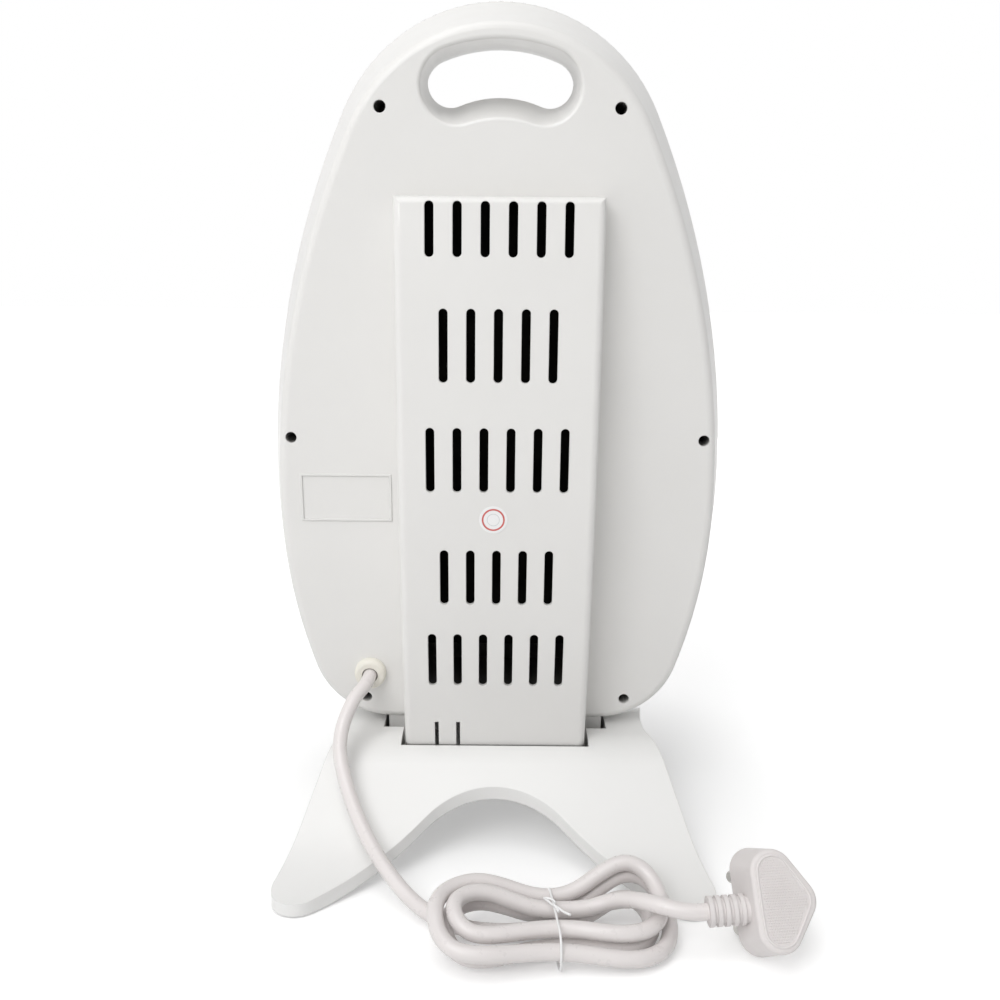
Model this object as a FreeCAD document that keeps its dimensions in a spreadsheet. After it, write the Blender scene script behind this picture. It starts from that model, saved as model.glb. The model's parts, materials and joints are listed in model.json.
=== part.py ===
import FreeCAD, Part
import math
import os
import re
import Sketcher
from types import SimpleNamespace

# Free-standing quartz room heater. An egg-shaped housing of two half shells leans back in
# a splayed base, and its mains cord lies tied in a hank on the floor behind it.
# Front is -Y, back is +Y, up is +Z. Lengths are in millimetres, angles in degrees.
# Pieces in the housing are drawn upright (x across, y front to back, z up) and then leaned.

V = FreeCAD.Vector

SIZES = {
    # Housing shells
    "lean_angle": 6,
    "housing_set_back": 44.5,
    "housing_rise": 64.1,
    "shell_wall": 2.5,
    "rear_depth": 47,
    "front_depth": 28,
    "widest_height": 146,
    "rim_half_width": 140.5,
    "rim_top": 427.6,
    "back_half_width": 129,
    "back_top": 410.6,
    "back_bottom": 4,
    "front_inset": 9,
    "shoulder_angle": 25,
    "corner_angle": 18,
    "back_corner_radius": 50,
    "rim_fillet": 5,
    # Hand opening
    "grip_bend": 75,
    "grip_rear_mid": 383,
    "grip_rear_half": 19.35,
    "grip_rear_reach": 23.5,
    "grip_waist_mid": 390.4,
    "grip_waist_half": 13.2,
    "grip_waist_reach": 28.5,
    "grip_front_half": 15.5,
    "grip_fillet": 2,
    # Vent spine and neck
    "spine_root": 30,
    "spine_top": 323,
    "spine_top_half": 57,
    "spine_foot_half": 55,
    "spine_top_rise": 18,
    "spine_mid_rise": 30,
    "spine_mid_height": 215,
    "spine_foot_rise": 27,
    "spine_fillet": 4,
    "slot_width": 4.9,
    "slot_pitch": 15,
    "neck_half": 68,
    "neck_front": 10,
    "neck_back": 44,
    "neck_drop": 24,
    "neck_overlap": 10,
    "tongue_left": 35.5,
    "tongue_right": 22.5,
    "tongue_slit": 2.3,
    "tongue_top": 17,
    "frame_x": 89.8,
    "frame_z": 150.5,
    "frame_width": 54,
    "frame_height": 29,
    "frame_line": 1.2,
    "frame_rise": 0.6,
    # Case screws and their posts
    "post_split": 6,
    "rear_post_radius": 5.5,
    "front_post_radius": 4.5,
    "recess_radius": 3.25,
    "recess_floor": 12,
    "case_hole_radius": 1.7,
    "case_pilot_radius": 1.55,
    "case_pilot_end": 17,
    "case_head_radius": 2.9,
    "case_head_height": 2.2,
    "case_shank_radius": 1.5,
    "case_shank_length": 22,
    # Window, wire guard and reflector
    "window_half": 65,
    "window_bottom": 55,
    "window_top": 317,
    "window_corner": 10,
    "guard_half": 69,
    "guard_overlap": 4,
    "guard_corner": 8,
    "guard_rim_radius": 1.9,
    "guard_wire_radius": 1.25,
    "guard_y": -23.5,
    "guard_post_x": 23,
    "reflector_front": -21.5,
    "reflector_back": 20,
    "reflector_sheet": 0.8,
    "reflector_flange": 86,
    "reflector_mouth": 66,
    "reflector_floor": 50,
    "reflector_bottom": 44,
    "reflector_top": 328,
    "boss_x": 78,
    "boss_inset": 60,
    "boss_radius": 4,
    "reflector_hole_radius": 1.5,
    "reflector_pilot_radius": 1.25,
    "reflector_head_radius": 2.6,
    "reflector_head_height": 1.6,
    "reflector_shank_radius": 1.2,
    "reflector_shank_length": 3.8,
    # Quartz tubes, coils, caps and brackets
    "element_mid": 186,
    "element_half_span": 132,
    "element_x": 24,
    "element_y": -4,
    "tube_radius": 6,
    "tube_wall": 1.5,
    "tube_play": 0.1,
    "cap_radius": 9,
    "cap_height": 16,
    "cap_seat": 6,
    "cap_bore_radius": 6.05,
    "cap_wire_radius": 1.2,
    "spigot_radius": 4.9,
    "spigot_length": 6,
    "bracket_hole_radius": 5,
    "bracket_sheet": 1.2,
    "bracket_half": 42,
    "bracket_front": -14,
    "bracket_leg": 12,
    "coil_radius": 3.6,
    "coil_wire_radius": 0.5,
    "coil_end_gap": 0.6,
    # Electrical parts inside
    "terminal_x": 66,
    "terminal_z": 66,
    "terminal_width": 36,
    "terminal_height": 16,
    "terminal_depth": 14,
    "terminal_screw_radius": 2.4,
    "terminal_screw_depth": 4,
    "cutout_z": 280,
    "cutout_radius": 8,
    "cutout_height": 6,
    "cutout_tab_half": 2.4,
    "cutout_tab_sheet": 0.8,
    "cutout_tab_x": 4,
    "cutout_tab_length": 7,
    "wire_radius": 1.1,
    "wire_lift": 12,
    "wire_side": 80,
    "wire_depth": 27,
    # Rocker switches
    "switch_x": 20,
    "switch_z": 32,
    "switch_flange_half": 7.5,
    "switch_flange_rise": 10.5,
    "switch_flange_sheet": 2,
    "switch_barrel_half": 6.4,
    "switch_barrel_rise": 9.4,
    "switch_barrel_back": -12,
    "switch_cut_play": 0.2,
    "switch_well_half": 5.4,
    "switch_well_rise": 8.7,
    "switch_well_back": -18,
    "switch_blade_half": 2.4,
    "switch_blade_sheet": 0.8,
    "switch_blade_length": 8,
    "switch_blade_z": 5,
    "rocker_half": 5.1,
    "rocker_pivot_y": -26,
    "rocker_front": 7.5,
    "rocker_valley": 5.5,
    "rocker_front_rise": 7.9,
    "rocker_back": 2.5,
    "rocker_back_rise": 5,
    "rocker_tilt": 9,
    "axle_radius": 1,
    "axle_hole_radius": 1.05,
    "axle_half": 6.2,
    # Tip-over switch
    "tip_x": -58,
    "tip_y": 30,
    "tip_left": -70,
    "tip_right": -49,
    "tip_front": 20.5,
    "tip_bottom": 10,
    "tip_top": 32,
    "tip_bore_radius": 3.05,
    "plunger_radius": 3,
    "plunger_top": 24,
    "plunger_floor_gap": 0.3,
    "collar_radius": 5,
    "collar_bottom": -14,
    "collar_height": 3,
    "plunger_hole_radius": 3.4,
    # Base stand
    "platform_height": 59.5,
    "platform_half": 31,
    "platform_bend": 40,
    "toe_y": 95,
    "toe_height": 10,
    "toe_bend": 90,
    "tip_reach": 140,
    "tip_height": 7,
    "arch_corner": 34.4,
    "arch_bend": 60,
    "leg_corner_x": 133.1,
    "leg_corner_y": 150.2,
    "front_leg_x": 118,
    "leg_bend": 14,
    "waist_half": 94,
    "waist_reach": 10,
    "waist_bend": 40,
    "base_skin": 2.5,
    "base_rim": 8,
    "base_gap": 1,
    "foot_radius": 9.5,
    "foot_height": 3,
    "foot_boss_radius": 10.5,
    "slot_half": 70.5,
    "slot_front": 8,
    "slot_back": 53.7,
    "deep_half": 57.5,
    "deep_back": 75.5,
    "socket_wall": 2.5,
    "socket_head": 20,
    # Mains cord where it is held
    "cord_radius": 4.2,
    "grommet_x": 78.5,
    "grommet_z": 36,
    "grommet_radius": 9.75,
    "grommet_rise": 5.5,
    "grommet_neck_radius": 8,
    "grommet_hole_radius": 8.1,
    "grommet_lip_radius": 9.3,
    "grommet_lip": 3,
    "grommet_bore_radius": 4.85,
    "grommet_fillet": 2.4,
    "cord_inner_y": 10,
    "cord_straight": 10,
    "clamp_half": 9,
    "clamp_front": 18,
    "clamp_back": 28,
    "clamp_top": 44,
    "clamp_play": 0.15,
    "clamp_screw_offset": 6.8,
    "clamp_hole_radius": 1.25,
    "clamp_shank_radius": 1.2,
    "clamp_shank_length": 17,
    "clamp_pilot_depth": 7,
    "clamp_head_radius": 2.1,
    "clamp_head_height": 1.5,
    # Tied hank of cord on the floor
    "hank_x": -31,
    "hank_y": 142.5,
    "hank_floor_gap": 1.5,
    "hank_half_length": 49,
    "hank_length_step": 9.6,
    "hank_waist": 4.9,
    "hank_waist_step": 11.2,
    "hank_belly": 28.4,
    "hank_belly_step": 19,
    "hank_layer": 10.4,
    "hank_left_lift": 9.4,
    "hank_left_start": 3,
    "hank_left_run": 40,
    "hank_right_lift": 12.4,
    "hank_right_start": 3.3,
    "hank_right_run": 35,
    "hank_far_start": 19.5,
    "hank_far_run": 72.5,
    "tie_radius": 0.6,
    "tie_gap": 0.35,
    "tie_corner": 5,
    "tie_end": 9,
    # Plug
    "plug_x": -140,
    "plug_y": 163,
    "plug_floor_gap": 0.4,
    "plug_yaw": 0,
    "plug_roll": 4,
    "plug_pitch": 33,
    "plug_depth": 25,
    "plug_grip_base": 12.7,
    "plug_grip_half": 51.9,
    "plug_grip_apex": 19.2,
    "plug_face_base": 17.5,
    "plug_face_half": 38.5,
    "plug_face_apex": 28.7,
    "plug_corner": 11,
    "plug_fillet": 2,
    "sleeve_y": 12,
    "sleeve_drop": 3,
    "sleeve_start": 10,
    "sleeve_end": 34,
    "sleeve_root_radius": 6.6,
    "sleeve_tip_radius": 6,
    "sleeve_rib_radius": 7.4,
    "sleeve_rib": 2.3,
    "sleeve_rib_pitch": 3.9,
    "earth_radius": 4.35,
    "earth_length": 28,
    "earth_x": 16.6,
    "line_radius": 3.53,
    "line_length": 20.5,
    "line_x": -12,
    "line_z": 12.7,
    "pin_fillet": 1.2,
}

# Places that come in pairs, as x across and z up on the upright housing
CASE_SCREWS = [(64.5, 368.6), (121, 187), (81.5, 18.5)]
# Vent slot rows: how many slots, then their bottom and top heights
SLOT_COUNTS = [6, 5, 6, 5, 6]
SLOT_ROWS = [(291.9, 320.8), (225.3, 265.1), (163.8, 200.5), (95.9, 129.5), (42.6, 76.9)]
# Free cord between the grommet and the hank, then over the hank to the plug
LEAD_POINTS = [
    (87, 34, 87), (93.5, 49, 67), (86.5, 65, 48), (76, 83, 33.5), (64.2, 99.5, 22.5),
    (51, 113.5, 13), (39.5, 124, 8.2), (26, 134, 6), (8, 140.8, 5.8),
]
TAIL_POINTS = [(-60, 135.5, 20.2), (-71, 142.5, 26), (-82, 151, 28.5)]
GUARD_WIRES = 17
COIL_TURNS = 32
HANK_TURNS = 3
HANK_STEPS = 12
SLEEVE_RIBS = 5
LOBE_SHARES = {"left": 0.91, "right": 1.06}
FOLD_SHARE = 0.05
HANK_TILT_SHARE = 0.13
BEND_SHARE = 0.45

document = FreeCAD.newDocument("quartz_heater")
sheet = document.addObject("Spreadsheet::Sheet", "Sizes")
for row, (alias, number) in enumerate(SIZES.items(), 1):
    sheet.set("A%d" % row, alias)
    sheet.set("B%d" % row, str(number))
    sheet.setAlias("B%d" % row, alias)
document.recompute()
size = SimpleNamespace(**{alias: float(sheet.get(alias)) for alias in SIZES})

LEAN = FreeCAD.Placement(V(0, -size.housing_set_back, size.housing_rise),
                         FreeCAD.Rotation(V(1, 0, 0), -size.lean_angle))
UPRIGHT = FreeCAD.Placement()
ACROSS = V(1, 0, 0)
BACKWARD = V(0, 1, 0)
UP = V(0, 0, 1)
pieces = []


# Bound primitives: every argument is an expression in the names of the sheet

def link(text):
    return re.sub(r"[a-z]+(?:_[a-z]+)+", r"Sizes.\g<0>", text)


def bind(item, **expressions):
    for name, text in expressions.items():
        item.setExpression(name.replace("__", "."), link(text))
    return item


def box(x_low, x_high, y_low, y_high, z_low, z_high):
    item = document.addObject("Part::Box", "block")
    bind(item, Length="%s - (%s)" % (x_high, x_low), Width="%s - (%s)" % (y_high, y_low),
         Height="%s - (%s)" % (z_high, z_low))
    return bind(item, Placement__Base__x=x_low, Placement__Base__y=y_low, Placement__Base__z=z_low)


TURNS = {"x": FreeCAD.Rotation(BACKWARD, 90), "y": FreeCAD.Rotation(ACROSS, -90), "z": FreeCAD.Rotation()}


def rod(axis, radius, low, high, first, second):
    """Round bar along an axis; first and second are its place on the other two axes."""
    item = document.addObject("Part::Cylinder", "rod")
    item.Placement = FreeCAD.Placement(V(0, 0, 0), TURNS[axis])
    bind(item, Radius=radius, Height="%s - (%s)" % (high, low))
    place = {"x": (low, first, second), "y": (first, low, second), "z": (first, second, low)}[axis]
    return bind(item, Placement__Base__x=place[0], Placement__Base__y=place[1], Placement__Base__z=place[2])


def fuse(*items):
    item = document.addObject("Part::MultiFuse", "joined")
    item.Shapes = list(items)
    return item


def cut(base, *tools):
    item = document.addObject("Part::Cut", "cut")
    item.Base = base
    item.Tool = fuse(*tools) if len(tools) > 1 else tools[0]
    return item


def piece(label, items, placement):
    """Named node holding the given solids, moved to its place."""
    item = document.addObject("Part::Compound", label)
    item.Links = items
    item.Label = label
    item.Placement = placement
    pieces.append(item)
    return item


def feature(label, shape, placement):
    item = document.addObject("Part::Feature", label)
    item.Shape = shape
    item.Label = label
    item.Placement = placement
    pieces.append(item)
    return item


def pad_body(label, corners, length, placement):
    """Body padded from a bound polygon on its own XY plane; corners are pairs of expressions."""
    body = document.addObject("PartDesign::Body", label)
    sketch = body.newObject("Sketcher::SketchObject", label + "_outline")
    plane = [item for item in body.Origin.OriginFeatures if item.Role == "XY_Plane"][0]
    sketch.AttachmentSupport = [(plane, "")]
    sketch.MapMode = "FlatFace"
    spots = [V(*[sheet.evalExpression(link(text)) for text in corner], 0) for corner in corners]
    count = len(spots)
    for index in range(count):
        sketch.addGeometry(Part.LineSegment(spots[index], spots[(index + 1) % count]), False)
    for index in range(count):
        sketch.addConstraint(Sketcher.Constraint("Coincident", index, 2, (index + 1) % count, 1))
    for index, corner in enumerate(corners):
        for kind, text, number in zip(("DistanceX", "DistanceY"), corner, spots[index]):
            place = sketch.addConstraint(Sketcher.Constraint(kind, -1, 1, index, 1, number))
            sketch.setExpression("Constraints[%d]" % place, link(text))
    pad = body.newObject("PartDesign::Pad", label + "_pad")
    pad.Profile = sketch
    pad.setExpression("Length", link(length))
    body.Tip = pad
    body.Placement = placement
    return body


# Wires and solids drawn in code

def arc(start, middle, end):
    return Part.Arc(start, middle, end).toShape()


def line(start, end):
    return Part.makeLine(start, end)


def rounded_edges(points, radii, closed):
    """Straight runs joined by tangent arcs; a zero radius leaves a corner sharp."""
    count = len(points)
    spans = []
    for index, corner in enumerate(points):
        if radii[index] == 0:
            spans.append((corner, None, corner))
            continue
        before = (points[index - 1] - corner).normalize()
        after = (points[(index + 1) % count] - corner).normalize()
        half = before.getAngle(after) / 2
        middle = (before + after).normalize()
        reach = radii[index] / math.tan(half)
        dip = radii[index] / math.sin(half) - radii[index]
        spans.append((corner + before * reach, corner + middle * dip, corner + after * reach))
    edges = []
    for index, (start, middle, end) in enumerate(spans):
        if middle is not None:
            edges.append(arc(start, middle, end))
        if index + 1 < count or closed:
            edges.append(line(end, spans[(index + 1) % count][0]))
    return edges


def rounded_wire(points, radii):
    return Part.Wire(rounded_edges(points, radii, True))


def prism(wire, along):
    return Part.Face(wire).extrude(along)


def tube(edges, radius):
    """Round section swept along edges that run on smoothly."""
    path = Part.Wire(edges)
    start = edges[0].valueAt(edges[0].FirstParameter)
    heading = edges[0].tangentAt(edges[0].FirstParameter)
    ring = Part.Wire(Part.Circle(start, heading, radius).toShape())
    return path.makePipeShell([ring], True, False)


def cord_edges(points):
    radii = [0]
    for before, corner, after in zip(points, points[1:], points[2:]):
        turn = math.pi - (before - corner).getAngle(after - corner)
        run = min((before - corner).Length, (after - corner).Length)
        radii.append(BEND_SHARE * run / math.tan(turn / 2))
    radii.append(0)
    print("bend radii", [round(radius, 1) for radius in radii[1:-1]])
    return rounded_edges(points, radii, False)


def tangent_arc(start, heading, end):
    chord = end - start
    lift = heading - chord * (heading.dot(chord) / chord.dot(chord))
    if lift.Length < 1e-7:
        return line(start, end)
    angle = heading.getAngle(chord)
    return arc(start, start + chord / 2 + lift.normalize() * (chord.Length / 2 * math.tan(angle / 2)), end)


def biarc_edges(points, headings):
    """Two tangent arcs from each point to the next, so that the curve runs on smoothly."""
    edges = []
    for start, end, first, last in zip(points, points[1:], headings, headings[1:]):
        chord = end - start
        along = chord.dot(first + last)
        spread = 2 * (1 - first.dot(last))
        if spread < 1e-9:
            reach = chord.dot(chord) / (2 * along)
        else:
            reach = (math.sqrt(along * along + spread * chord.dot(chord)) - along) / spread
        joint = (start + first * reach + end - last * reach) / 2
        edges.append(tangent_arc(start, first, joint))
        back = tangent_arc(end, last * -1, joint)
        edges.append(Part.Wire([back]).Edges[0] if back.Curve.TypeId == "Part::GeomLine" else back)
    return edges


def box_shape(x_low, x_high, y_low, y_high, z_low, z_high):
    return Part.makeBox(x_high - x_low, y_high - y_low, z_high - z_low, V(x_low, y_low, z_low))


def rod_shape(radius, start, along):
    return Part.makeCylinder(radius, along.Length, start, along)


def leaned(shape):
    moved = shape.copy()
    moved.Placement = LEAN.multiply(moved.Placement)
    return moved


def smooth(share):
    inside = min(max(share, 0), 1)
    return inside * inside * (3 - 2 * inside)


def egg(half_width, top, bottom, inset, depth):
    """Egg outline of tangent arcs round the housing, moved inwards, in the plane y = depth."""
    shoulder = math.radians(size.shoulder_angle)
    turn = math.radians(size.corner_angle)
    pull = 1 / math.tan(shoulder / 2)
    crown = (half_width * pull - (top - size.widest_height)) / (pull - 1)
    flank = crown + (half_width - crown) / (1 - math.cos(shoulder))
    corner = size.back_corner_radius + half_width - size.back_half_width
    hip = corner + (size.widest_height - bottom - corner) / math.sin(turn)
    corner_x = half_width - corner - (hip - corner) * (1 - math.cos(turn))
    side_arcs = [(half_width - flank, size.widest_height, flank, shoulder, 0),
                 (half_width - hip, size.widest_height, hip, 0, -turn),
                 (corner_x, bottom + corner, corner, -turn, -math.pi / 2)]

    def spot(side, x, z, radius, angle):
        reach = radius - inset
        return V(side * (x + reach * math.cos(angle)), depth, z + reach * math.sin(angle))

    edges = [arc(spot(-1, 0, top - crown, crown, shoulder), V(0, depth, top - inset),
                 spot(1, 0, top - crown, crown, shoulder))]
    for x, z, radius, start, end in side_arcs:
        edges.append(arc(*[spot(1, x, z, radius, angle) for angle in (start, (start + end) / 2, end)]))
    edges.append(line(V(corner_x, depth, bottom + inset), V(-corner_x, depth, bottom + inset)))
    for x, z, radius, start, end in reversed(side_arcs):
        edges.append(arc(*[spot(-1, x, z, radius, angle) for angle in (end, (start + end) / 2, start)]))
    return Part.Wire(edges)


def grip(mid, half, reach, depth):
    """Arched slot of four tangent arcs for the hand, in the plane y = depth."""
    centre = V(0, depth, mid - size.grip_bend)
    tip = math.asin(reach / size.grip_bend)

    def spot(radius, angle):
        return centre + V(radius * math.sin(angle), 0, radius * math.cos(angle))

    outer = size.grip_bend + half
    inner = size.grip_bend - half
    ends = {}
    for side in (-1, 1):
        along = V(side * math.cos(tip), 0, -math.sin(tip))
        ends[side] = spot(size.grip_bend, side * tip) + along * half
    return Part.Wire([
        arc(spot(outer, -tip), spot(outer, 0), spot(outer, tip)),
        arc(spot(outer, tip), ends[1], spot(inner, tip)),
        arc(spot(inner, tip), spot(inner, 0), spot(inner, -tip)),
        arc(spot(inner, -tip), ends[-1], spot(outer, -tip)),
    ])


def loft(first, second):
    return Part.makeLoft([first, second], True, True)


def edges_on_depth(shape, depth):
    """Edges that lie in the plane y = depth."""
    return [edge for edge in shape.Edges
            if abs(edge.BoundBox.YMin - depth) < 1e-3 and abs(edge.BoundBox.YMax - depth) < 1e-3]


def mirrored(places):
    return [(side * x, z) for x, z in places for side in (1, -1)]


# Rear cover: half shell, vent spine, neck, hand opening, screw posts and cord saddle

wall = size.shell_wall
rim = (size.rim_half_width, size.rim_top, 0)
back = (size.back_half_width, size.back_top, size.back_bottom)
inner_back = size.rear_depth - wall
inner_front = wall - size.front_depth

shell = loft(egg(*rim, 0, 0), egg(*back, 0, size.rear_depth))
shell = shell.makeFillet(size.rim_fillet, edges_on_depth(shell, size.rear_depth))
hollow = loft(egg(*rim, wall, 0), egg(*back, wall, inner_back))


def spine_block(inset):
    foot = size.rear_depth + size.spine_foot_rise - inset
    middle = size.rear_depth + size.spine_mid_rise - inset
    head = size.rear_depth + size.spine_top_rise - inset
    top = size.spine_top - inset
    half = size.spine_top_half
    start = -half
    profile = Part.Wire([
        line(V(start, size.spine_root, -size.neck_drop), V(start, foot, -size.neck_drop)),
        line(V(start, foot, -size.neck_drop), V(start, foot, 0)),
        arc(V(start, foot, 0), V(start, middle, size.spine_mid_height), V(start, head, top)),
        line(V(start, head, top), V(start, size.spine_root, top)),
        line(V(start, size.spine_root, top), V(start, size.spine_root, -size.neck_drop)),
    ])
    corners = [V(size.spine_foot_half - inset, 0, -size.neck_drop), V(size.spine_top_half - inset, 0, top),
               V(inset - size.spine_top_half, 0, top), V(inset - size.spine_foot_half, 0, -size.neck_drop)]
    front = Part.makePolygon(corners + corners[:1])
    return prism(profile, ACROSS * (2 * half)).common(prism(front, BACKWARD * (2 * size.rear_depth)))


spine = spine_block(0)
spine_edges = [edge for edge in spine.Edges
               if edge.BoundBox.YMin > size.rear_depth + size.spine_top_rise - wall
               and edge.BoundBox.ZMax > 0]
spine_edges = [edge for edge in spine_edges
               if edge.BoundBox.ZLength > 0 or edge.BoundBox.ZMin > size.widest_height]
spine_edges += [edge for edge in spine.Edges if edge.BoundBox.YMin > size.rear_depth + wall
                and edge.BoundBox.ZMax <= 1e-6 and edge.BoundBox.ZLength > wall]
spine = spine.makeFillet(size.spine_fillet, spine_edges)
neck = box_shape(-size.neck_half, size.neck_half, size.neck_front, size.neck_back,
                 -size.neck_drop, size.neck_overlap)
neck_hollow = box_shape(wall - size.neck_half, size.neck_half - wall, size.neck_front + wall,
                        size.neck_back - wall, -size.neck_drop, size.neck_overlap)

rear_grip = grip(size.grip_rear_mid, size.grip_rear_half, size.grip_rear_reach, size.rear_depth)
waist_grip = grip(size.grip_waist_mid, size.grip_waist_half, size.grip_waist_reach, 0)
rear_sleeve = loft(grip(size.grip_rear_mid, size.grip_rear_half + wall, size.grip_rear_reach,
                        size.rear_depth),
                   grip(size.grip_waist_mid, size.grip_waist_half + wall, size.grip_waist_reach, 0))
rear_opening = loft(rear_grip, waist_grip)

posts = []
recesses = []
for x, z in mirrored(CASE_SCREWS):
    posts.append(rod_shape(size.rear_post_radius, V(x, size.post_split, z),
                           BACKWARD * (inner_back - size.post_split)))
    recesses.append(rod_shape(size.recess_radius, V(x, size.recess_floor, z), BACKWARD * size.rear_depth))
    recesses.append(rod_shape(size.case_hole_radius, V(x, size.post_split, z), BACKWARD * size.recess_floor))
saddle_top = size.grommet_z - size.cord_radius - size.clamp_play
saddle = box_shape(size.grommet_x - size.clamp_half, size.grommet_x + size.clamp_half,
                   size.clamp_front, size.clamp_back, 0, saddle_top)
for side in (1, -1):
    recesses.append(rod_shape(size.clamp_hole_radius,
                              V(size.grommet_x + side * size.clamp_screw_offset,
                                (size.clamp_front + size.clamp_back) / 2, saddle_top - size.clamp_pilot_depth),
                              UP * size.clamp_pilot_depth))


def slot_prism(x, low, high, half, y_low, y_high):
    """Upright slot with round ends, cut from front to back."""
    outline = Part.Wire([
        line(V(x - half, y_low, low + half), V(x - half, y_low, high - half)),
        arc(V(x - half, y_low, high - half), V(x, y_low, high), V(x + half, y_low, high - half)),
        line(V(x + half, y_low, high - half), V(x + half, y_low, low + half)),
        arc(V(x + half, y_low, low + half), V(x, y_low, low), V(x - half, y_low, low + half)),
    ])
    return prism(outline, BACKWARD * (y_high - y_low))


spine_reach = 2 * size.rear_depth
slots = []
for count, (low, high) in zip(SLOT_COUNTS, SLOT_ROWS):
    for index in range(count):
        x = (index - (count - 1) / 2) * size.slot_pitch
        slots.append(slot_prism(x, low, high, size.slot_width / 2, size.rear_depth + wall, spine_reach))
for x in (size.tongue_left, size.tongue_right):
    slots.append(box_shape(x - size.tongue_slit / 2, x + size.tongue_slit / 2, size.rear_depth + wall,
                           spine_reach, -size.neck_drop, size.tongue_top))

frame_outer = box_shape(size.frame_x - size.frame_width / 2, size.frame_x + size.frame_width / 2,
                        inner_back, size.rear_depth + size.frame_rise,
                        size.frame_z - size.frame_height / 2, size.frame_z + size.frame_height / 2)
frame_inner = box_shape(size.frame_x - size.frame_width / 2 + size.frame_line,
                        size.frame_x + size.frame_width / 2 - size.frame_line,
                        size.rear_depth, size.rear_depth + 2 * size.frame_rise,
                        size.frame_z - size.frame_height / 2 + size.frame_line,
                        size.frame_z + size.frame_height / 2 - size.frame_line)

cover = shell.fuse([spine, neck])
cover = cover.cut(Part.makeCompound([hollow.fuse([spine_block(wall), neck_hollow])]))
added = [item.common(shell) for item in posts + [saddle, rear_sleeve]]
cover = cover.fuse(added + [frame_outer.cut(frame_inner)])
grommet_hole = rod_shape(size.grommet_hole_radius, V(size.grommet_x, inner_back - wall, size.grommet_z),
                         BACKWARD * (2 * wall))
cover = cover.cut([rear_opening, grommet_hole] + recesses + slots)
grip_edges = [edge for edge in edges_on_depth(cover, size.rear_depth)
              if edge.BoundBox.ZMin > size.spine_top and edge.BoundBox.ZMax < size.back_top - size.rim_fillet
              and edge.BoundBox.ZLength > size.frame_line
              and edge.Curve.TypeId == "Part::GeomCircle" and edge.Curve.Radius > size.rear_post_radius]
cover = cover.makeFillet(size.grip_fillet, grip_edges)
feature("rear_cover", cover, LEAN)

# Front bezel: half shell with the window, hand opening, switch openings and screw posts

face = (size.rim_half_width - size.front_inset, size.rim_top - size.front_inset, size.front_inset)
bezel = loft(egg(*rim, 0, 0), egg(*face, 0, -size.front_depth))
bezel = bezel.makeFillet(size.rim_fillet, edges_on_depth(bezel, -size.front_depth))
bezel = bezel.cut(loft(egg(*rim, wall, 0), egg(*face, wall, inner_front)))
front_sleeve = loft(grip(size.grip_waist_mid, size.grip_front_half + wall, size.grip_waist_reach,
                         -size.front_depth),
                    grip(size.grip_waist_mid, size.grip_waist_half + wall, size.grip_waist_reach, 0))
front_opening = loft(grip(size.grip_waist_mid, size.grip_front_half, size.grip_waist_reach,
                          -size.front_depth), waist_grip)
window = prism(rounded_wire([V(side * size.window_half, -2 * size.front_depth, z) for side, z in
                             ((1, size.window_bottom), (1, size.window_top), (-1, size.window_top),
                              (-1, size.window_bottom))], [size.window_corner] * 4),
               BACKWARD * (2 * size.front_depth))
BOSSES = mirrored([(size.boss_x, size.reflector_bottom + size.boss_inset),
                   (size.boss_x, size.reflector_top - size.boss_inset)])
added = [front_sleeve]
holes = [front_opening, window]
for x, z in mirrored(CASE_SCREWS):
    added.append(rod_shape(size.front_post_radius, V(x, inner_front - wall / 2, z),
                           BACKWARD * (size.post_split - inner_front + wall / 2)))
    holes.append(rod_shape(size.case_pilot_radius, V(x, size.post_split - size.case_pilot_end, z),
                           BACKWARD * size.case_pilot_end))
for x, z in BOSSES:
    added.append(rod_shape(size.boss_radius, V(x, inner_front - wall / 2, z),
                           BACKWARD * (size.reflector_front - inner_front + wall / 2)))
    holes.append(rod_shape(size.reflector_pilot_radius, V(x, inner_front, z),
                           BACKWARD * (size.reflector_front - inner_front)))
for side in (1, -1):
    half = size.switch_barrel_half + size.switch_cut_play
    rise = size.switch_barrel_rise + size.switch_cut_play
    holes.append(box_shape(side * size.switch_x - half, side * size.switch_x + half, -2 * size.front_depth,
                           inner_front + wall, size.switch_z - rise, size.switch_z + rise))
feature("front_bezel", bezel.fuse(added).cut(holes), LEAN)


def screw(radius, head, shank_radius, length, place, heading):
    """Pan screw: the underside of its head is at the place, the shank runs along the heading."""
    shank = rod_shape(shank_radius, place, heading * length)
    return shank.fuse(rod_shape(radius, place, heading * -head)).removeSplitter()


feature("case_screws", Part.makeCompound([
    screw(size.case_head_radius, size.case_head_height, size.case_shank_radius, size.case_shank_length,
          V(x, size.recess_floor, z), BACKWARD * -1) for x, z in mirrored(CASE_SCREWS)]), LEAN)

# Wire guard, clamped between the bezel and the reflector flanges

guard_bottom = size.window_bottom - size.guard_overlap
guard_top = size.window_top + size.guard_overlap
guard_corners = [V(side * size.guard_half, size.guard_y, z) for side, z in
                 ((1, guard_bottom), (1, guard_top), (-1, guard_top), (-1, guard_bottom))]
guard = tube(rounded_edges(guard_corners, [size.guard_corner] * 4, True), size.guard_rim_radius)
wires = []
for index in range(GUARD_WIRES):
    z = guard_bottom + (guard_top - guard_bottom) * (index + 1) / (GUARD_WIRES + 1)
    wires.append(rod_shape(size.guard_wire_radius, V(-size.guard_half, size.guard_y, z),
                           ACROSS * (2 * size.guard_half)))
for side in (1, -1):
    wires.append(rod_shape(size.guard_wire_radius, V(side * size.guard_post_x, size.guard_y, guard_bottom),
                           UP * (guard_top - guard_bottom)))
feature("front_grille", guard.fuse(wires), LEAN)

# Reflector: folded trough with two flanges screwed to the bezel bosses

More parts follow.
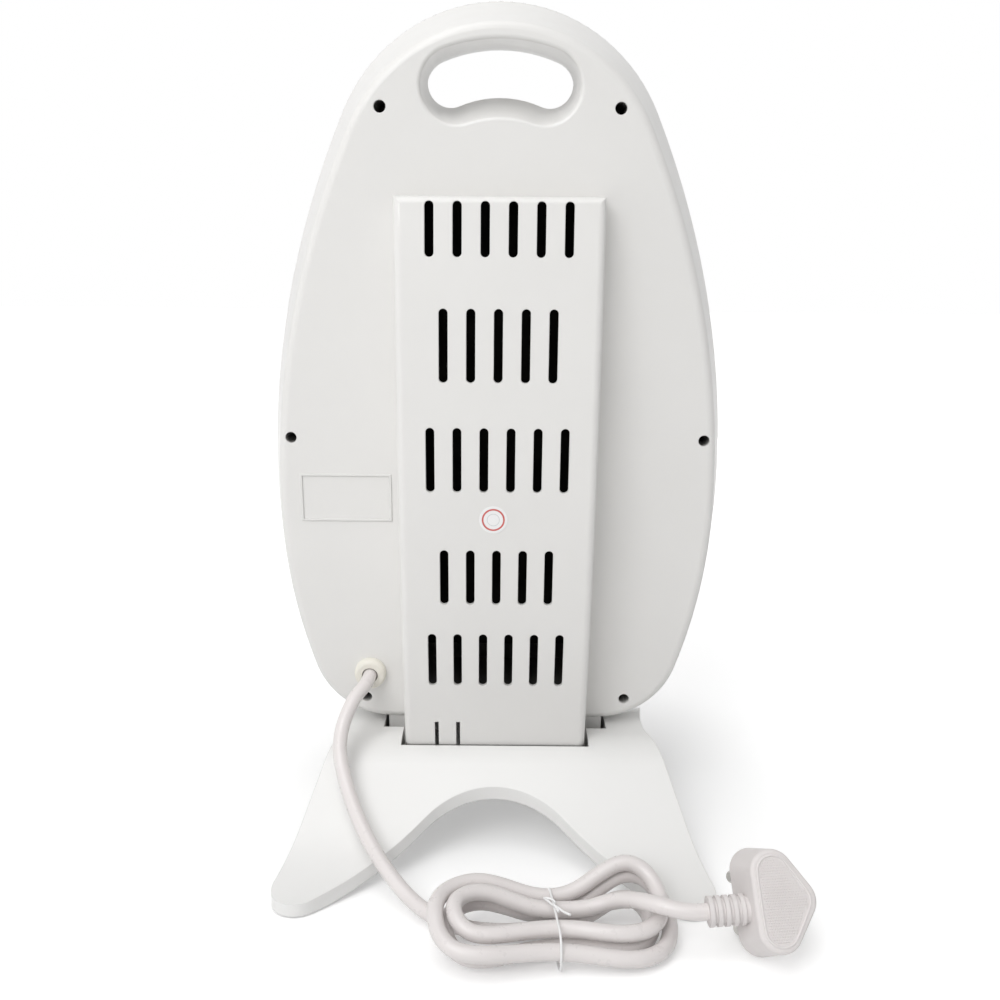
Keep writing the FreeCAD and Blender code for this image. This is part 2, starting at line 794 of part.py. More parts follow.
trough = [("-reflector_flange", "reflector_front"), ("-reflector_mouth", "reflector_front"),
          ("-reflector_floor", "reflector_back - reflector_sheet"),
          ("reflector_floor", "reflector_back - reflector_sheet"),
          ("reflector_mouth", "reflector_front"), ("reflector_flange", "reflector_front"),
          ("reflector_flange", "reflector_front + reflector_sheet"),
          ("reflector_mouth + reflector_sheet", "reflector_front + reflector_sheet"),
          ("reflector_floor + reflector_sheet", "reflector_back"),
          ("-reflector_floor - reflector_sheet", "reflector_back"),
          ("-reflector_mouth - reflector_sheet", "reflector_front + reflector_sheet"),
          ("-reflector_flange", "reflector_front + reflector_sheet")]
trough_body = pad_body("reflector_sheet_metal", trough, "reflector_top - reflector_bottom",
                       FreeCAD.Placement(V(0, 0, size.reflector_bottom), FreeCAD.Rotation()))
trough_holes = [rod("y", "reflector_hole_radius", "2 * reflector_front", "reflector_back / 2",
                    side + "boss_x", z)
                for side in ("", "-")
                for z in ("reflector_bottom + boss_inset", "reflector_top - boss_inset")]
piece("reflector", [cut(trough_body, *trough_holes)], LEAN)
feature("reflector_screws", Part.makeCompound([
    screw(size.reflector_head_radius, size.reflector_head_height, size.reflector_shank_radius,
          size.reflector_shank_length, V(x, size.reflector_front + size.reflector_sheet, z), BACKWARD * -1)
    for x, z in BOSSES]), LEAN)

# Heating elements: tube, coil and two caps each, between two brackets

low_face = "element_mid - element_half_span"
high_face = "element_mid + element_half_span"
for side, sign in (("left", ""), ("right", "-")):
    x = sign + "element_x"
    low_seat = low_face + " + cap_seat"
    high_seat = high_face + " - cap_seat"
    piece("quartz_tube_" + side, [cut(
        rod("z", "tube_radius", low_seat + " + tube_play", high_seat + " - tube_play", x, "element_y"),
        rod("z", "tube_radius - tube_wall", low_face, high_face, x, "element_y"))], LEAN)
    piece("lower_ceramic_cap_" + side, [cut(
        fuse(rod("z", "cap_radius", low_face, low_face + " + cap_height", x, "element_y"),
             rod("z", "spigot_radius", low_face + " - spigot_length", low_seat, x, "element_y")),
        rod("z", "cap_bore_radius", low_seat, low_face + " + 2 * cap_height", x, "element_y"),
        rod("z", "cap_wire_radius", low_face + " - 2 * spigot_length", low_face + " + cap_height", x,
            "element_y"))], LEAN)
    piece("upper_ceramic_cap_" + side, [cut(
        fuse(rod("z", "cap_radius", high_face + " - cap_height", high_face, x, "element_y"),
             rod("z", "spigot_radius", high_seat, high_face + " + spigot_length", x, "element_y")),
        rod("z", "cap_bore_radius", high_face + " - 2 * cap_height", high_seat, x, "element_y"),
        rod("z", "cap_wire_radius", high_face + " - cap_height", high_face + " + 2 * spigot_length", x,
            "element_y"))], LEAN)

    coil_low = (size.element_mid - size.element_half_span + size.cap_seat + size.coil_end_gap
                + size.coil_wire_radius)
    coil_height = 2 * (size.element_mid - coil_low)
    across = size.element_x if side == "left" else -size.element_x
    spots = []
    headings = []
    for index in range(2 * COIL_TURNS + 1):
        angle = math.pi * index
        climb = coil_height / (2 * COIL_TURNS) * index
        spots.append(V(across + size.coil_radius * math.cos(angle),
                       size.element_y + size.coil_radius * math.sin(angle), coil_low + climb))
        headings.append(V(-size.coil_radius * math.sin(angle), size.coil_radius * math.cos(angle),
                          coil_height / (2 * math.pi * COIL_TURNS)).normalize())
    coil = tube(biarc_edges(spots, headings), size.coil_wire_radius)
    feature("heating_coil_" + side, coil, LEAN)

for label, inner, outer, leg in (
        ("lower_tube_bracket", low_face, low_face + " - bracket_sheet", low_face + " + bracket_leg"),
        ("upper_tube_bracket", high_face, high_face + " + bracket_sheet", high_face + " - bracket_leg")):
    bottom, top = (outer, inner) if label.startswith("lower") else (inner, outer)
    leg_bottom, leg_top = (outer, leg) if label.startswith("lower") else (leg, outer)
    plate = box("-bracket_half", "bracket_half", "bracket_front", "reflector_back - reflector_sheet",
                bottom, top)
    flange = box("-bracket_half", "bracket_half", "reflector_back - reflector_sheet - bracket_sheet",
                 "reflector_back - reflector_sheet", leg_bottom, leg_top)
    seats = [rod("z", "bracket_hole_radius", bottom + " - bracket_leg / 2", top + " + bracket_leg / 2",
                 sign + "element_x", "element_y") for sign in ("", "-")]
    piece(label, [cut(fuse(plate, flange), *seats)], LEAN)

# Electrical parts on the back wall and on the reflector

back_wall = "rear_depth - shell_wall"
terminal_front = back_wall + " - terminal_depth"
screws_down = [rod("y", "terminal_screw_radius", terminal_front, terminal_front + " + terminal_screw_depth",
                   "terminal_x + terminal_width * %d / 6" % share, "terminal_z + terminal_height / 2")
               for share in (1, 3, 5)]
piece("terminal_block", [cut(box("terminal_x", "terminal_x + terminal_width", terminal_front, back_wall,
                                 "terminal_z", "terminal_z + terminal_height"), *screws_down)], LEAN)
cutout_back = "reflector_back + cutout_height"
cutout_tabs = [box(sign + "cutout_tab_x - cutout_tab_half", sign + "cutout_tab_x + cutout_tab_half",
                   "reflector_back + cutout_height / 2", cutout_back + " + cutout_tab_length",
                   "cutout_z - cutout_tab_sheet / 2", "cutout_z + cutout_tab_sheet / 2")
               for sign in ("", "-")]
cutout_can = rod("y", "cutout_radius", "reflector_back", cutout_back, "0 * cutout_tab_x", "cutout_z")
piece("thermal_cutout", [fuse(cutout_can, *cutout_tabs)], LEAN)

# Rocker switches in the bezel

for side, sign in (("left", ""), ("right", "-")):
    x = sign + "switch_x"
    flange = box(x + " - switch_flange_half", x + " + switch_flange_half",
                 "-front_depth - switch_flange_sheet", "-front_depth",
                 "switch_z - switch_flange_rise", "switch_z + switch_flange_rise")
    barrel = box(x + " - switch_barrel_half", x + " + switch_barrel_half",
                 "-front_depth - switch_flange_sheet / 2", "switch_barrel_back",
                 "switch_z - switch_barrel_rise", "switch_z + switch_barrel_rise")
    blades = [box(x + " - switch_blade_half", x + " + switch_blade_half",
                  "switch_barrel_back - switch_flange_sheet", "switch_barrel_back + switch_blade_length",
                  "switch_z " + spot + " switch_blade_z - switch_blade_sheet / 2",
                  "switch_z " + spot + " switch_blade_z + switch_blade_sheet / 2") for spot in ("+", "-")]
    well = box(x + " - switch_well_half", x + " + switch_well_half", "-2 * front_depth", "switch_well_back",
               "switch_z - switch_well_rise", "switch_z + switch_well_rise")
    bore = rod("x", "axle_hole_radius", x + " - switch_flange_half + switch_flange_sheet / 2",
               x + " + switch_flange_half - switch_flange_sheet / 2", "rocker_pivot_y", "switch_z")
    piece("switch_body_" + side, [cut(fuse(flange, barrel, *blades), well, bore)], LEAN)

    pivot = V(size.switch_x if side == "left" else -size.switch_x, size.rocker_pivot_y, size.switch_z)
    rocker = pad_body("rocker_form_" + side, [
        ("rocker_front", "-rocker_front_rise"), ("rocker_valley", "0 * rocker_front"),
        ("rocker_front", "rocker_front_rise"), ("-rocker_back", "rocker_back_rise"),
        ("-rocker_back", "-rocker_back_rise")], "2 * rocker_half", UPRIGHT)
    rocker.Placement = FreeCAD.Placement(V(size.rocker_half, 0, 0),
                                         FreeCAD.Rotation(V(0, -1, 0), V(0, 0, 1), V(-1, 0, 0), "ZXY"))
    axle = rod("x", "axle_radius", "-axle_half", "axle_half", "0 * axle_half", "0 * axle_half")
    tilted = FreeCAD.Placement(pivot, FreeCAD.Rotation(ACROSS, -size.rocker_tilt))
    piece("rocker_" + side, [fuse(rocker, axle)], LEAN.multiply(tilted))

# Tip-over switch on the back wall, with a plunger that reaches the floor

piece("tip_switch_body", [cut(box("tip_left", "tip_right", "tip_front", back_wall, "tip_bottom", "tip_top"),
                              rod("z", "tip_bore_radius", "tip_bottom - tip_top", "tip_top - tip_bore_radius",
                                  "tip_x", "tip_y"))], LEAN)
lean = math.radians(size.lean_angle)
tip_centre = (size.plunger_floor_gap + size.plunger_radius - size.housing_rise
              + size.tip_y * math.sin(lean)) / math.cos(lean)
plunger = rod_shape(size.plunger_radius, V(size.tip_x, size.tip_y, tip_centre),
                    UP * (size.plunger_top - tip_centre))
plunger = plunger.fuse([Part.makeSphere(size.plunger_radius, V(size.tip_x, size.tip_y, tip_centre)),
                        rod_shape(size.collar_radius, V(size.tip_x, size.tip_y, size.collar_bottom),
                                  UP * size.collar_height)]).removeSplitter()
feature("tip_switch_plunger", plunger, LEAN)

# Base stand: splayed shell with two arches, foot bosses and a stepped socket


def roof(drop, floor):
    """Region under the upper surface of the base, lowered by a drop, as a bar across the base."""
    half = [(size.platform_half, size.platform_height), (size.toe_y, size.toe_height),
            (size.tip_reach, size.tip_height)]
    bends = [size.platform_bend, size.toe_bend, 0]
    points = [V(-size.leg_corner_x, -y, z - drop) for y, z in reversed(half)]
    points += [V(-size.leg_corner_x, y, z - drop) for y, z in half]
    points += [V(-size.leg_corner_x, side * size.tip_reach, floor) for side in (1, -1)]
    return prism(rounded_wire(points, bends[::-1] + bends + [0, 0]), ACROSS * (2 * size.leg_corner_x))


quarter = [(0, size.arch_corner), (size.leg_corner_x, size.leg_corner_y), (size.waist_half, size.waist_reach)]
quarter_bends = [size.arch_bend, size.leg_bend, size.waist_bend]
front_quarter = [quarter[0], (size.front_leg_x, size.leg_corner_y), quarter[2]]
plan_points = [V(x, y, 0) for x, y in quarter] + [V(x, -y, 0) for x, y in front_quarter[::-1]]
plan_points += [V(-x, -y, 0) for x, y in front_quarter[1:]] + [V(-x, y, 0) for x, y in quarter[:0:-1]]
plan_bends = quarter_bends + quarter_bends[::-1] + quarter_bends[1:] + quarter_bends[:0:-1]
plan = rounded_wire(plan_points, plan_bends)
plan_block = prism(plan, UP * size.platform_height)
inner_plan = prism(plan.makeOffset2D(-size.base_skin), UP * size.platform_height)
below = -size.base_rim
whole = plan_block.common(roof(0, size.base_gap))
stand = whole.cut([roof(size.base_rim, below), inner_plan.common(roof(size.base_skin, below))])



def foot_place(corner_x):
    """Middle of the round at a leg's end, for a leg at the back."""
    foot = V(corner_x, size.leg_corner_y, 0)
    to_arch = V(0, size.arch_corner, 0) - foot
    to_waist = V(size.waist_half, size.waist_reach, 0) - foot
    toward = (V(to_arch).normalize() + V(to_waist).normalize()).normalize()
    return foot + toward * (size.leg_bend / math.sin(to_arch.getAngle(to_waist) / 2))


rear_foot = foot_place(size.leg_corner_x)
front_foot = foot_place(size.front_leg_x)
FEET = [(side * foot.x, end * foot.y)
        for foot, end in ((rear_foot, 1), (front_foot, -1)) for side in (1, -1)]
bosses = [rod_shape(size.foot_boss_radius, V(x, y, size.foot_height), UP * size.platform_height).common(whole)
          for x, y in FEET]
low = -size.neck_drop
socket_outer = box_shape(-size.slot_half - size.socket_wall, size.slot_half + size.socket_wall,
                         size.slot_front - size.socket_wall, size.slot_back + size.socket_wall,
                         low - size.socket_wall, size.socket_head)
deep_outer = size.deep_half + size.socket_wall
socket_outer = socket_outer.fuse(box_shape(-deep_outer, deep_outer, size.slot_back - size.socket_wall,
                                           size.deep_back + size.socket_wall,
                                           low - size.socket_wall, size.socket_head))
socket_inner = box_shape(-size.slot_half, size.slot_half, size.slot_front, size.slot_back,
                         low, 2 * size.socket_head)
socket_inner = socket_inner.fuse(box_shape(-size.deep_half, size.deep_half,
                                           size.slot_back - size.socket_wall, size.deep_back,
                                           low, 2 * size.socket_head))
plunger_hole = rod_shape(size.plunger_hole_radius, V(size.tip_x, size.tip_y, 2 * low),
                         UP * size.platform_height)
stand = stand.fuse(bosses + [leaned(socket_outer).common(whole)])
stand = stand.cut([leaned(socket_inner), leaned(plunger_hole)])
feature("base_stand", stand, UPRIGHT)
feature("base_feet", Part.makeCompound([rod_shape(size.foot_radius, V(x, y, 0), UP * size.foot_height)
                                        for x, y in FEET]), UPRIGHT)

# Cord where the housing holds it: grommet, inner end, clamp and clamp screws

outside = "rear_depth + grommet_rise"
grommet = rod_shape(size.grommet_radius, V(size.grommet_x, size.rear_depth, size.grommet_z),
                    BACKWARD * size.grommet_rise)
mouth = size.rear_depth + size.grommet_rise
grommet = grommet.makeFillet(size.grommet_fillet, edges_on_depth(grommet, mouth))
grommet_neck = V(size.grommet_x, inner_back - wall, size.grommet_z)
grommet_lip = V(size.grommet_x, inner_back - size.grommet_lip, size.grommet_z)
grommet = grommet.fuse([rod_shape(size.grommet_neck_radius, grommet_neck, BACKWARD * (2 * wall)),
                        rod_shape(size.grommet_lip_radius, grommet_lip, BACKWARD * size.grommet_lip)])
grommet = grommet.cut(rod_shape(size.grommet_bore_radius, V(size.grommet_x, 0, size.grommet_z),
                                BACKWARD * (2 * size.rear_depth)))
feature("cord_grommet", grommet, LEAN)
piece("power_cord_inner_end",
      [rod("y", "cord_radius", "cord_inner_y", outside, "grommet_x", "grommet_z")], LEAN)

clamp_middle = "(clamp_front + clamp_back) / 2"
clamp_bottom = "grommet_z - cord_radius - clamp_play"
clamp_holes = [rod("z", "clamp_hole_radius", clamp_bottom + " - clamp_half", "2 * clamp_top",
                   "grommet_x " + sign + " clamp_screw_offset", clamp_middle) for sign in ("+", "-")]
piece("cord_clamp", [cut(box("grommet_x - clamp_half", "grommet_x + clamp_half", "clamp_front", "clamp_back",
                             clamp_bottom, "clamp_top"),
                         rod("y", "cord_radius + clamp_play", "clamp_front - clamp_half",
                             "clamp_back + clamp_half", "grommet_x", "grommet_z"),
                         box("grommet_x - cord_radius - clamp_play", "grommet_x + cord_radius + clamp_play",
                             "clamp_front - clamp_half", "clamp_back + clamp_half",
                             clamp_bottom + " - clamp_half", "grommet_z"), *clamp_holes)], LEAN)
feature("clamp_screws", Part.makeCompound([
    screw(size.clamp_head_radius, size.clamp_head_height, size.clamp_shank_radius, size.clamp_shank_length,
          V(size.grommet_x + side * size.clamp_screw_offset, (size.clamp_front + size.clamp_back) / 2,
            size.clamp_top), UP * -1) for side in (1, -1)]), LEAN)

# Wiring between the terminal block, the switches, the elements and the cut-out


def wire_run(points):
    radii = [0] + [4 * size.wire_radius] * (len(points) - 2) + [0]
    return tube(rounded_edges(points, radii, False), size.wire_radius)


block_y = inner_back - size.terminal_depth / 2
block_low = size.terminal_z
block_high = size.terminal_z + size.terminal_height
wires = []
for share, offset in ((1, -1), (3, 1)):
    x = size.terminal_x + size.terminal_width * share / 6
    start = V(size.grommet_x + offset * 1.5 * size.wire_radius, size.cord_inner_y, size.grommet_z)
    level = size.clamp_top + (block_low - size.clamp_top) / 2
    front = size.cord_inner_y - size.wire_lift
    wires.append(wire_run([start, V(start.x, front, start.z), V(start.x, front, level), V(x, block_y, level),
                           V(x, block_y, block_low)]))
for side, share in ((1, 3), (-1, 5)):
    x = size.terminal_x + size.terminal_width * share / 6
    top = block_high + size.wire_lift * (share - 1) / 2
    foot_z = size.element_mid + size.element_half_span + size.spigot_length
    end = V(side * size.element_x, size.element_y, foot_z)
    over = foot_z + size.wire_lift * (share - 1) / 2
    wires.append(wire_run([V(x, block_y, block_high), V(x, block_y, top),
                           V(size.wire_side, size.wire_depth - share * size.wire_radius, top),
                           V(size.wire_side, size.wire_depth - share * size.wire_radius, over),
                           V(end.x, end.y, over), end]))
feature("internal_wiring", Part.makeCompound(wires), LEAN)

# Tied hank: one cord wound outwards in a lower layer and back inwards in an upper one


def hank_place(turn):
    out = min(turn, HANK_TURNS - turn)
    angle = math.pi * (0.5 + 2 * turn)
    lobe = LOBE_SHARES["left"] if math.cos(angle) > 0 else LOBE_SHARES["right"]
    waist = size.hank_waist + size.hank_waist_step * out
    belly = (size.hank_belly + size.hank_belly_step * out) * lobe
    along = size.hank_half_length + size.hank_length_step * out
    along *= (math.cos(angle) + FOLD_SHARE * math.cos(3 * angle)) / (1 + FOLD_SHARE)
    across = math.sin(angle) * (waist + (belly - waist) * math.cos(angle) ** 2)
    climb = smooth((turn - (HANK_TURNS / 2 - 0.25)) * 2)
    lift = size.hank_left_lift * smooth((along - size.hank_left_start) / size.hank_left_run)
    lift += (size.hank_right_lift * smooth((-along - size.hank_right_start) / size.hank_right_run)
             * smooth((across + size.hank_far_start) / size.hank_far_run))
    return V(size.hank_x + along, size.hank_y - across + HANK_TILT_SHARE * along,
             size.cord_radius + size.hank_floor_gap + climb * size.hank_layer + lift)


def hank_heading(turn):
    small = 1e-3
    return (hank_place(min(turn + small, HANK_TURNS)) - hank_place(max(turn - small, 0))).normalize()


hank_turns = [index / HANK_STEPS for index in range(HANK_TURNS * HANK_STEPS + 1)]
hank_edges = biarc_edges([hank_place(turn) for turn in hank_turns],
                         [hank_heading(turn) for turn in hank_turns])
hank_start = hank_place(0)
hank_end = hank_place(HANK_TURNS)
straight = 2 * size.cord_radius
lead_join = hank_start - hank_heading(0) * straight
tail_join = hank_end + hank_heading(HANK_TURNS) * straight
hank_edges = [line(lead_join, hank_start)] + hank_edges + [line(hank_end, tail_join)]
hank = tube(hank_edges, size.cord_radius)
feature("power_cord_hank", hank, UPRIGHT)

# Plug, leaning back on its lower corner and one pin, its grip face up


def triangle(base, half, apex, depth):
    corners = [V(-base, depth, half), V(apex, depth, 0), V(-base, depth, -half)]
    return rounded_wire(corners, [size.plug_corner] * 3)


plug = loft(triangle(size.plug_grip_base, size.plug_grip_half, size.plug_grip_apex, 0),
            triangle(size.plug_face_base, size.plug_face_half, size.plug_face_apex, size.plug_depth))
plug = plug.makeFillet(size.plug_fillet, edges_on_depth(plug, 0))
sleeve_axis = V(-1, 0, 0)
sleeve_root = V(-size.sleeve_start, size.sleeve_y, -size.sleeve_drop)
sleeve_length = size.sleeve_end - size.sleeve_start
sleeve = Part.makeCone(size.sleeve_root_radius, size.sleeve_tip_radius, sleeve_length,
                       sleeve_root, sleeve_axis)
ribs = [rod_shape(size.sleeve_rib_radius, sleeve_root + sleeve_axis * (sleeve_length - size.sleeve_rib
                                                                      - index * size.sleeve_rib_pitch),
                  sleeve_axis * size.sleeve_rib) for index in range(SLEEVE_RIBS)]
plug = plug.fuse([sleeve] + ribs)
pins = {"earth_pin": (size.earth_x, 0, size.earth_radius, size.earth_length),
        "live_pin": (size.line_x, size.line_z, size.line_radius, size.line_length),
        "neutral_pin": (size.line_x, -size.line_z, size.line_radius, size.line_length)}
plug_shapes = {"plug_body": plug}
for label, (x, z, radius, length) in pins.items():
    pin = rod_shape(radius, V(x, size.plug_depth, z), BACKWARD * length)
    plug_shapes[label] = pin.makeFillet(size.pin_fillet, edges_on_depth(pin, size.plug_depth + length))
plug_turn = FreeCAD.Rotation(ACROSS, size.plug_pitch).multiply(FreeCAD.Rotation(UP, 180 - size.plug_yaw))
plug_turn = plug_turn.multiply(FreeCAD.Rotation(BACKWARD, -size.plug_roll))
trial = Part.makeCompound(list(plug_shapes.values()))
trial.Placement = FreeCAD.Placement(V(0, 0, 0), plug_turn)
plug_rise = size.plug_floor_gap - trial.optimalBoundingBox().ZMin
PLUG = FreeCAD.Placement(V(size.plug_x, size.plug_y, plug_rise), plug_turn)
for label, shape in plug_shapes.items():
    feature(label, shape, PLUG)

# Free stretches of cord

sleeve_tip = PLUG.multVec(sleeve_root + sleeve_axis * sleeve_length)
sleeve_heading = PLUG.Rotation.multVec(sleeve_axis)
lead_start = LEAN.multVec(V(size.grommet_x, mouth, size.grommet_z))
lead_turn = LEAN.multVec(V(size.grommet_x, mouth + size.cord_straight, size.grommet_z))
lead_points = [lead_start, lead_turn] + [V(*point) for point in LEAD_POINTS]
lead_points += [lead_join - hank_heading(0) * size.cord_straight, lead_join]
tail_points = [tail_join, tail_join + hank_heading(HANK_TURNS) * size.cord_straight]
tail_points += [V(*point) for point in TAIL_POINTS]
tail_points += [sleeve_tip + sleeve_heading * size.cord_straight, sleeve_tip]
lead_path = cord_edges(lead_points)
tail_path = cord_edges(tail_points)
feature("power_cord_lead", tube(lead_path, size.cord_radius), UPRIGHT)
feature("power_cord_tail", tube(tail_path, size.cord_radius), UPRIGHT)

# Twist tie round the waist of the hank

tie_reach = size.cord_radius + size.tie_radius + size.tie_gap
far_side = size.hank_waist + size.hank_waist_step * (HANK_TURNS - 1) / 2 + tie_reach
near_side = size.hank_waist + size.hank_waist_step * HANK_TURNS / 2 + tie_reach
tie_low = size.hank_floor_gap - size.tie_radius - size.tie_gap
tie_high = size.hank_floor_gap + size.cord_radius + size.hank_layer + tie_reach
tie_corners = [V(size.hank_x, size.hank_y + y, z) for y, z in
               ((-far_side, tie_low), (-far_side, tie_high), (near_side, tie_high), (near_side, tie_low))]
tie = tube(rounded_edges(tie_corners, [size.tie_corner] * 4, True), size.tie_radius)
tie_root = V(size.hank_x, size.hank_y, tie_high)
for side in (1, -1):
    tie = tie.fuse(rod_shape(size.tie_radius, tie_root,
                             V(side * size.tie_end / 2, size.tie_end, size.tie_end / 2)))
feature("twist_tie", tie, UPRIGHT)

# Checks on the wound form, then on every piece, before anything is written


def path_points(edges, step):
    points = []
    for edge in edges:
        points += edge.discretize(Number=max(2, int(edge.Length / step) + 1))[:-1]
    return points


def report_cord(label, edges, solid):
    length = sum(edge.Length for edge in edges)
    share = solid.Volume / (math.pi * size.cord_radius ** 2 * length)
    print(label, "length", round(length, 1), "volume share", round(share, 4))
    return length


hank_points = path_points(hank_edges, size.cord_radius)
least = min(first.distanceToPoint(second) for index, first in enumerate(hank_points)
            for second in hank_points[index + 12:])
print("least self gap of the hank", round(least - 2 * size.cord_radius, 2))
document.recompute()
total = 0
print("sleeve tip", sleeve_tip, "heading", sleeve_heading, "hank end", hank_end)
for label, edges in (("power_cord_lead", lead_path), ("power_cord_hank", hank_edges),
                     ("power_cord_tail", tail_path)):
    total += report_cord(label, edges, document.getObject(label).Shape)
print("cord outside the housing", round(total, 1))

os.makedirs("parts", exist_ok=True)
for item in pieces:
    shape = item.Shape
    bad = [state for state in item.State if state in ("Invalid", "Error")]
    if bad or shape.isNull() or not shape.isValid() or not shape.Solids:
        raise RuntimeError("%s is not sound: %s" % (item.Label, item.State))
    limits = shape.BoundBox
    print("%-26s solids %d  volume %9.1f  z %.1f to %.1f" % (item.Label, len(shape.Solids), shape.Volume,
                                                          limits.ZMin, limits.ZMax))
for item in pieces:
    item.Shape.exportStep("parts/%s.step" % item.Label)
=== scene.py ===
import json
import math

import bpy
from mathutils import Matrix, Vector

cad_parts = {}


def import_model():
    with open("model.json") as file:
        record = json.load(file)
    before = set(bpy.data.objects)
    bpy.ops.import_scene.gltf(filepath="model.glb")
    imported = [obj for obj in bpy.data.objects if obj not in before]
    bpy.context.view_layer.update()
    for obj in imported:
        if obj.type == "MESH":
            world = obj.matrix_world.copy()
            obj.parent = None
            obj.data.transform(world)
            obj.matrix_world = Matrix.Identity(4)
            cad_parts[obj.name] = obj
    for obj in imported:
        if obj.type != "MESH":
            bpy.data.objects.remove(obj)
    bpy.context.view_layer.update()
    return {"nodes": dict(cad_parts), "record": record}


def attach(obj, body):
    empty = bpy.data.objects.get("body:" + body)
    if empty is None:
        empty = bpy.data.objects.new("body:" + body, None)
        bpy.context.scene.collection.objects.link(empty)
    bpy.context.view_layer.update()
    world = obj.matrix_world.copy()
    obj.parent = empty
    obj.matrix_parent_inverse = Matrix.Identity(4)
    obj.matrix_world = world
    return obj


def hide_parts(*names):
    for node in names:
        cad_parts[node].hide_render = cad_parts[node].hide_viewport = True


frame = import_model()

NODES = frame["nodes"]
BODY = "housing"
MM = 0.001

# Housing frame: upright millimetres (x across, y front to back, z up), leaned back in the base
LEAN = math.radians(6)
SET_BACK = 44.5
RISE = 64.1


def housing(x, y, z):
    """World point in metres of a point given on the upright housing in millimetres."""
    return Vector((x, -SET_BACK + math.cos(LEAN) * y + math.sin(LEAN) * z,
                   RISE - math.sin(LEAN) * y + math.cos(LEAN) * z)) * MM


def world(x, y, z):
    return Vector((x, y, z)) * MM


# Camera at the photograph's place
CAMERA_AT = world(0, 603.7, 322)
CAMERA_PITCH = math.radians(11)
CAMERA_ROLL = math.radians(0.5)
LENS = 36
IMAGE_SIZE = 1000
IMAGE_SHIFT = 3

camera_data = bpy.data.cameras.new("camera")
camera_data.lens = LENS
camera_data.sensor_width = LENS
camera_data.shift_x = IMAGE_SHIFT / IMAGE_SIZE
camera_data.clip_start = 0.01
camera = bpy.data.objects.new("camera", camera_data)
bpy.context.scene.collection.objects.link(camera)
forward = Vector((0, -math.cos(CAMERA_PITCH), -math.sin(CAMERA_PITCH)))
right = Vector((-1, 0, 0))
upward = right.cross(forward)
turn = Matrix((right, upward, -forward)).transposed().to_4x4()
camera.matrix_world = Matrix.Translation(CAMERA_AT) @ turn @ Matrix.Rotation(CAMERA_ROLL, 4, "Z")
bpy.context.scene.camera = camera

# Mains cord: the route of the solids, lead, tied hank and tail, as one smooth line in millimetres. The hank's
# left end lies lower on the near side than its solid, and its right loop stands higher, as in the photograph.
CORD_RADIUS = 4.2
CORD_STRAIGHT = 10
CORD_JOIN = 2 * CORD_RADIUS
GROMMET = (78.5, 52.5, 36)
LEAD_POINTS = [
    (87, 34, 87), (93.5, 49, 67), (86.5, 65, 48), (76, 83, 33.5), (64.2, 99.5, 22.5),
    (51, 113.5, 13), (39.5, 124, 8.2), (26, 134, 6), (8, 140.8, 5.8),
]
TAIL_POINTS = [(-60, 135.5, 20.2), (-71, 142.5, 26), (-82, 151, 28.5)]
SLEEVE_TIP = (-106.292, 155.858, 27.974)
SLEEVE_HEADING = (0.99756, 0.03799, -0.0585)
HANK_TURNS = 3
HANK_STEPS = 24
HANK_X, HANK_Y, HANK_FLOOR_GAP = -31, 142.5, 1.5
HANK_HALF_LENGTH, HANK_LENGTH_STEP = 49, 9.6
HANK_WAIST, HANK_WAIST_STEP = 4.9, 11.2
HANK_BELLY, HANK_BELLY_STEP = 28.4, 19
HANK_LAYER = 10.4
HANK_LEFT_LIFT, HANK_LEFT_START, HANK_LEFT_RUN = 9.4, 3, 40
HANK_RIGHT_LIFT, HANK_RIGHT_START, HANK_RIGHT_RUN = 12.4, 3.3, 35
HANK_FAR_START, HANK_FAR_RUN = 19.5, 72.5
HANK_NEAR_RUN = 20
HANK_RIGHT_RISE, HANK_RISE_RUN = 9, 30
HANK_TILT_SHARE = 0.13
FOLD_SHARE = 0.05
LOBE_SHARES = {"left": 0.91, "right": 1.06}


def smooth(share):
    inside = min(max(share, 0), 1)
    return inside * inside * (3 - 2 * inside)


def hank_place(turn_count):
    """World point on the hank after this many turns, counted from the far side of its waist."""
    out = min(turn_count, HANK_TURNS - turn_count)
    angle = math.pi * (0.5 + 2 * turn_count)
    lobe = LOBE_SHARES["left"] if math.cos(angle) > 0 else LOBE_SHARES["right"]
    waist = HANK_WAIST + HANK_WAIST_STEP * out
    belly = (HANK_BELLY + HANK_BELLY_STEP * out) * lobe
    along = HANK_HALF_LENGTH + HANK_LENGTH_STEP * out
    along *= (math.cos(angle) + FOLD_SHARE * math.cos(3 * angle)) / (1 + FOLD_SHARE)
    across = math.sin(angle) * (waist + (belly - waist) * math.cos(angle) ** 2)
    climb = smooth((turn_count - (HANK_TURNS / 2 - 0.25)) * 2)
    left_end = smooth((along - HANK_LEFT_START) / HANK_LEFT_RUN)
    right_end = smooth((-along - HANK_RIGHT_START) / HANK_RIGHT_RUN)
    lift = HANK_LEFT_LIFT * left_end * (1 - smooth(-across / HANK_NEAR_RUN))
    lift += HANK_RIGHT_LIFT * right_end * smooth((across + HANK_FAR_START) / HANK_FAR_RUN)
    lift += HANK_RIGHT_RISE * right_end * smooth(across / HANK_RISE_RUN)
    return world(HANK_X + along, HANK_Y - across + HANK_TILT_SHARE * along,
                 CORD_RADIUS + HANK_FLOOR_GAP + climb * HANK_LAYER + lift)


def hank_heading(turn_count):
    small = 1e-3
    after = hank_place(min(turn_count + small, HANK_TURNS))
    before = hank_place(max(turn_count - small, 0))
    return (after - before).normalized()


CURVE_STEPS = 6
ROUND_STEPS = 5


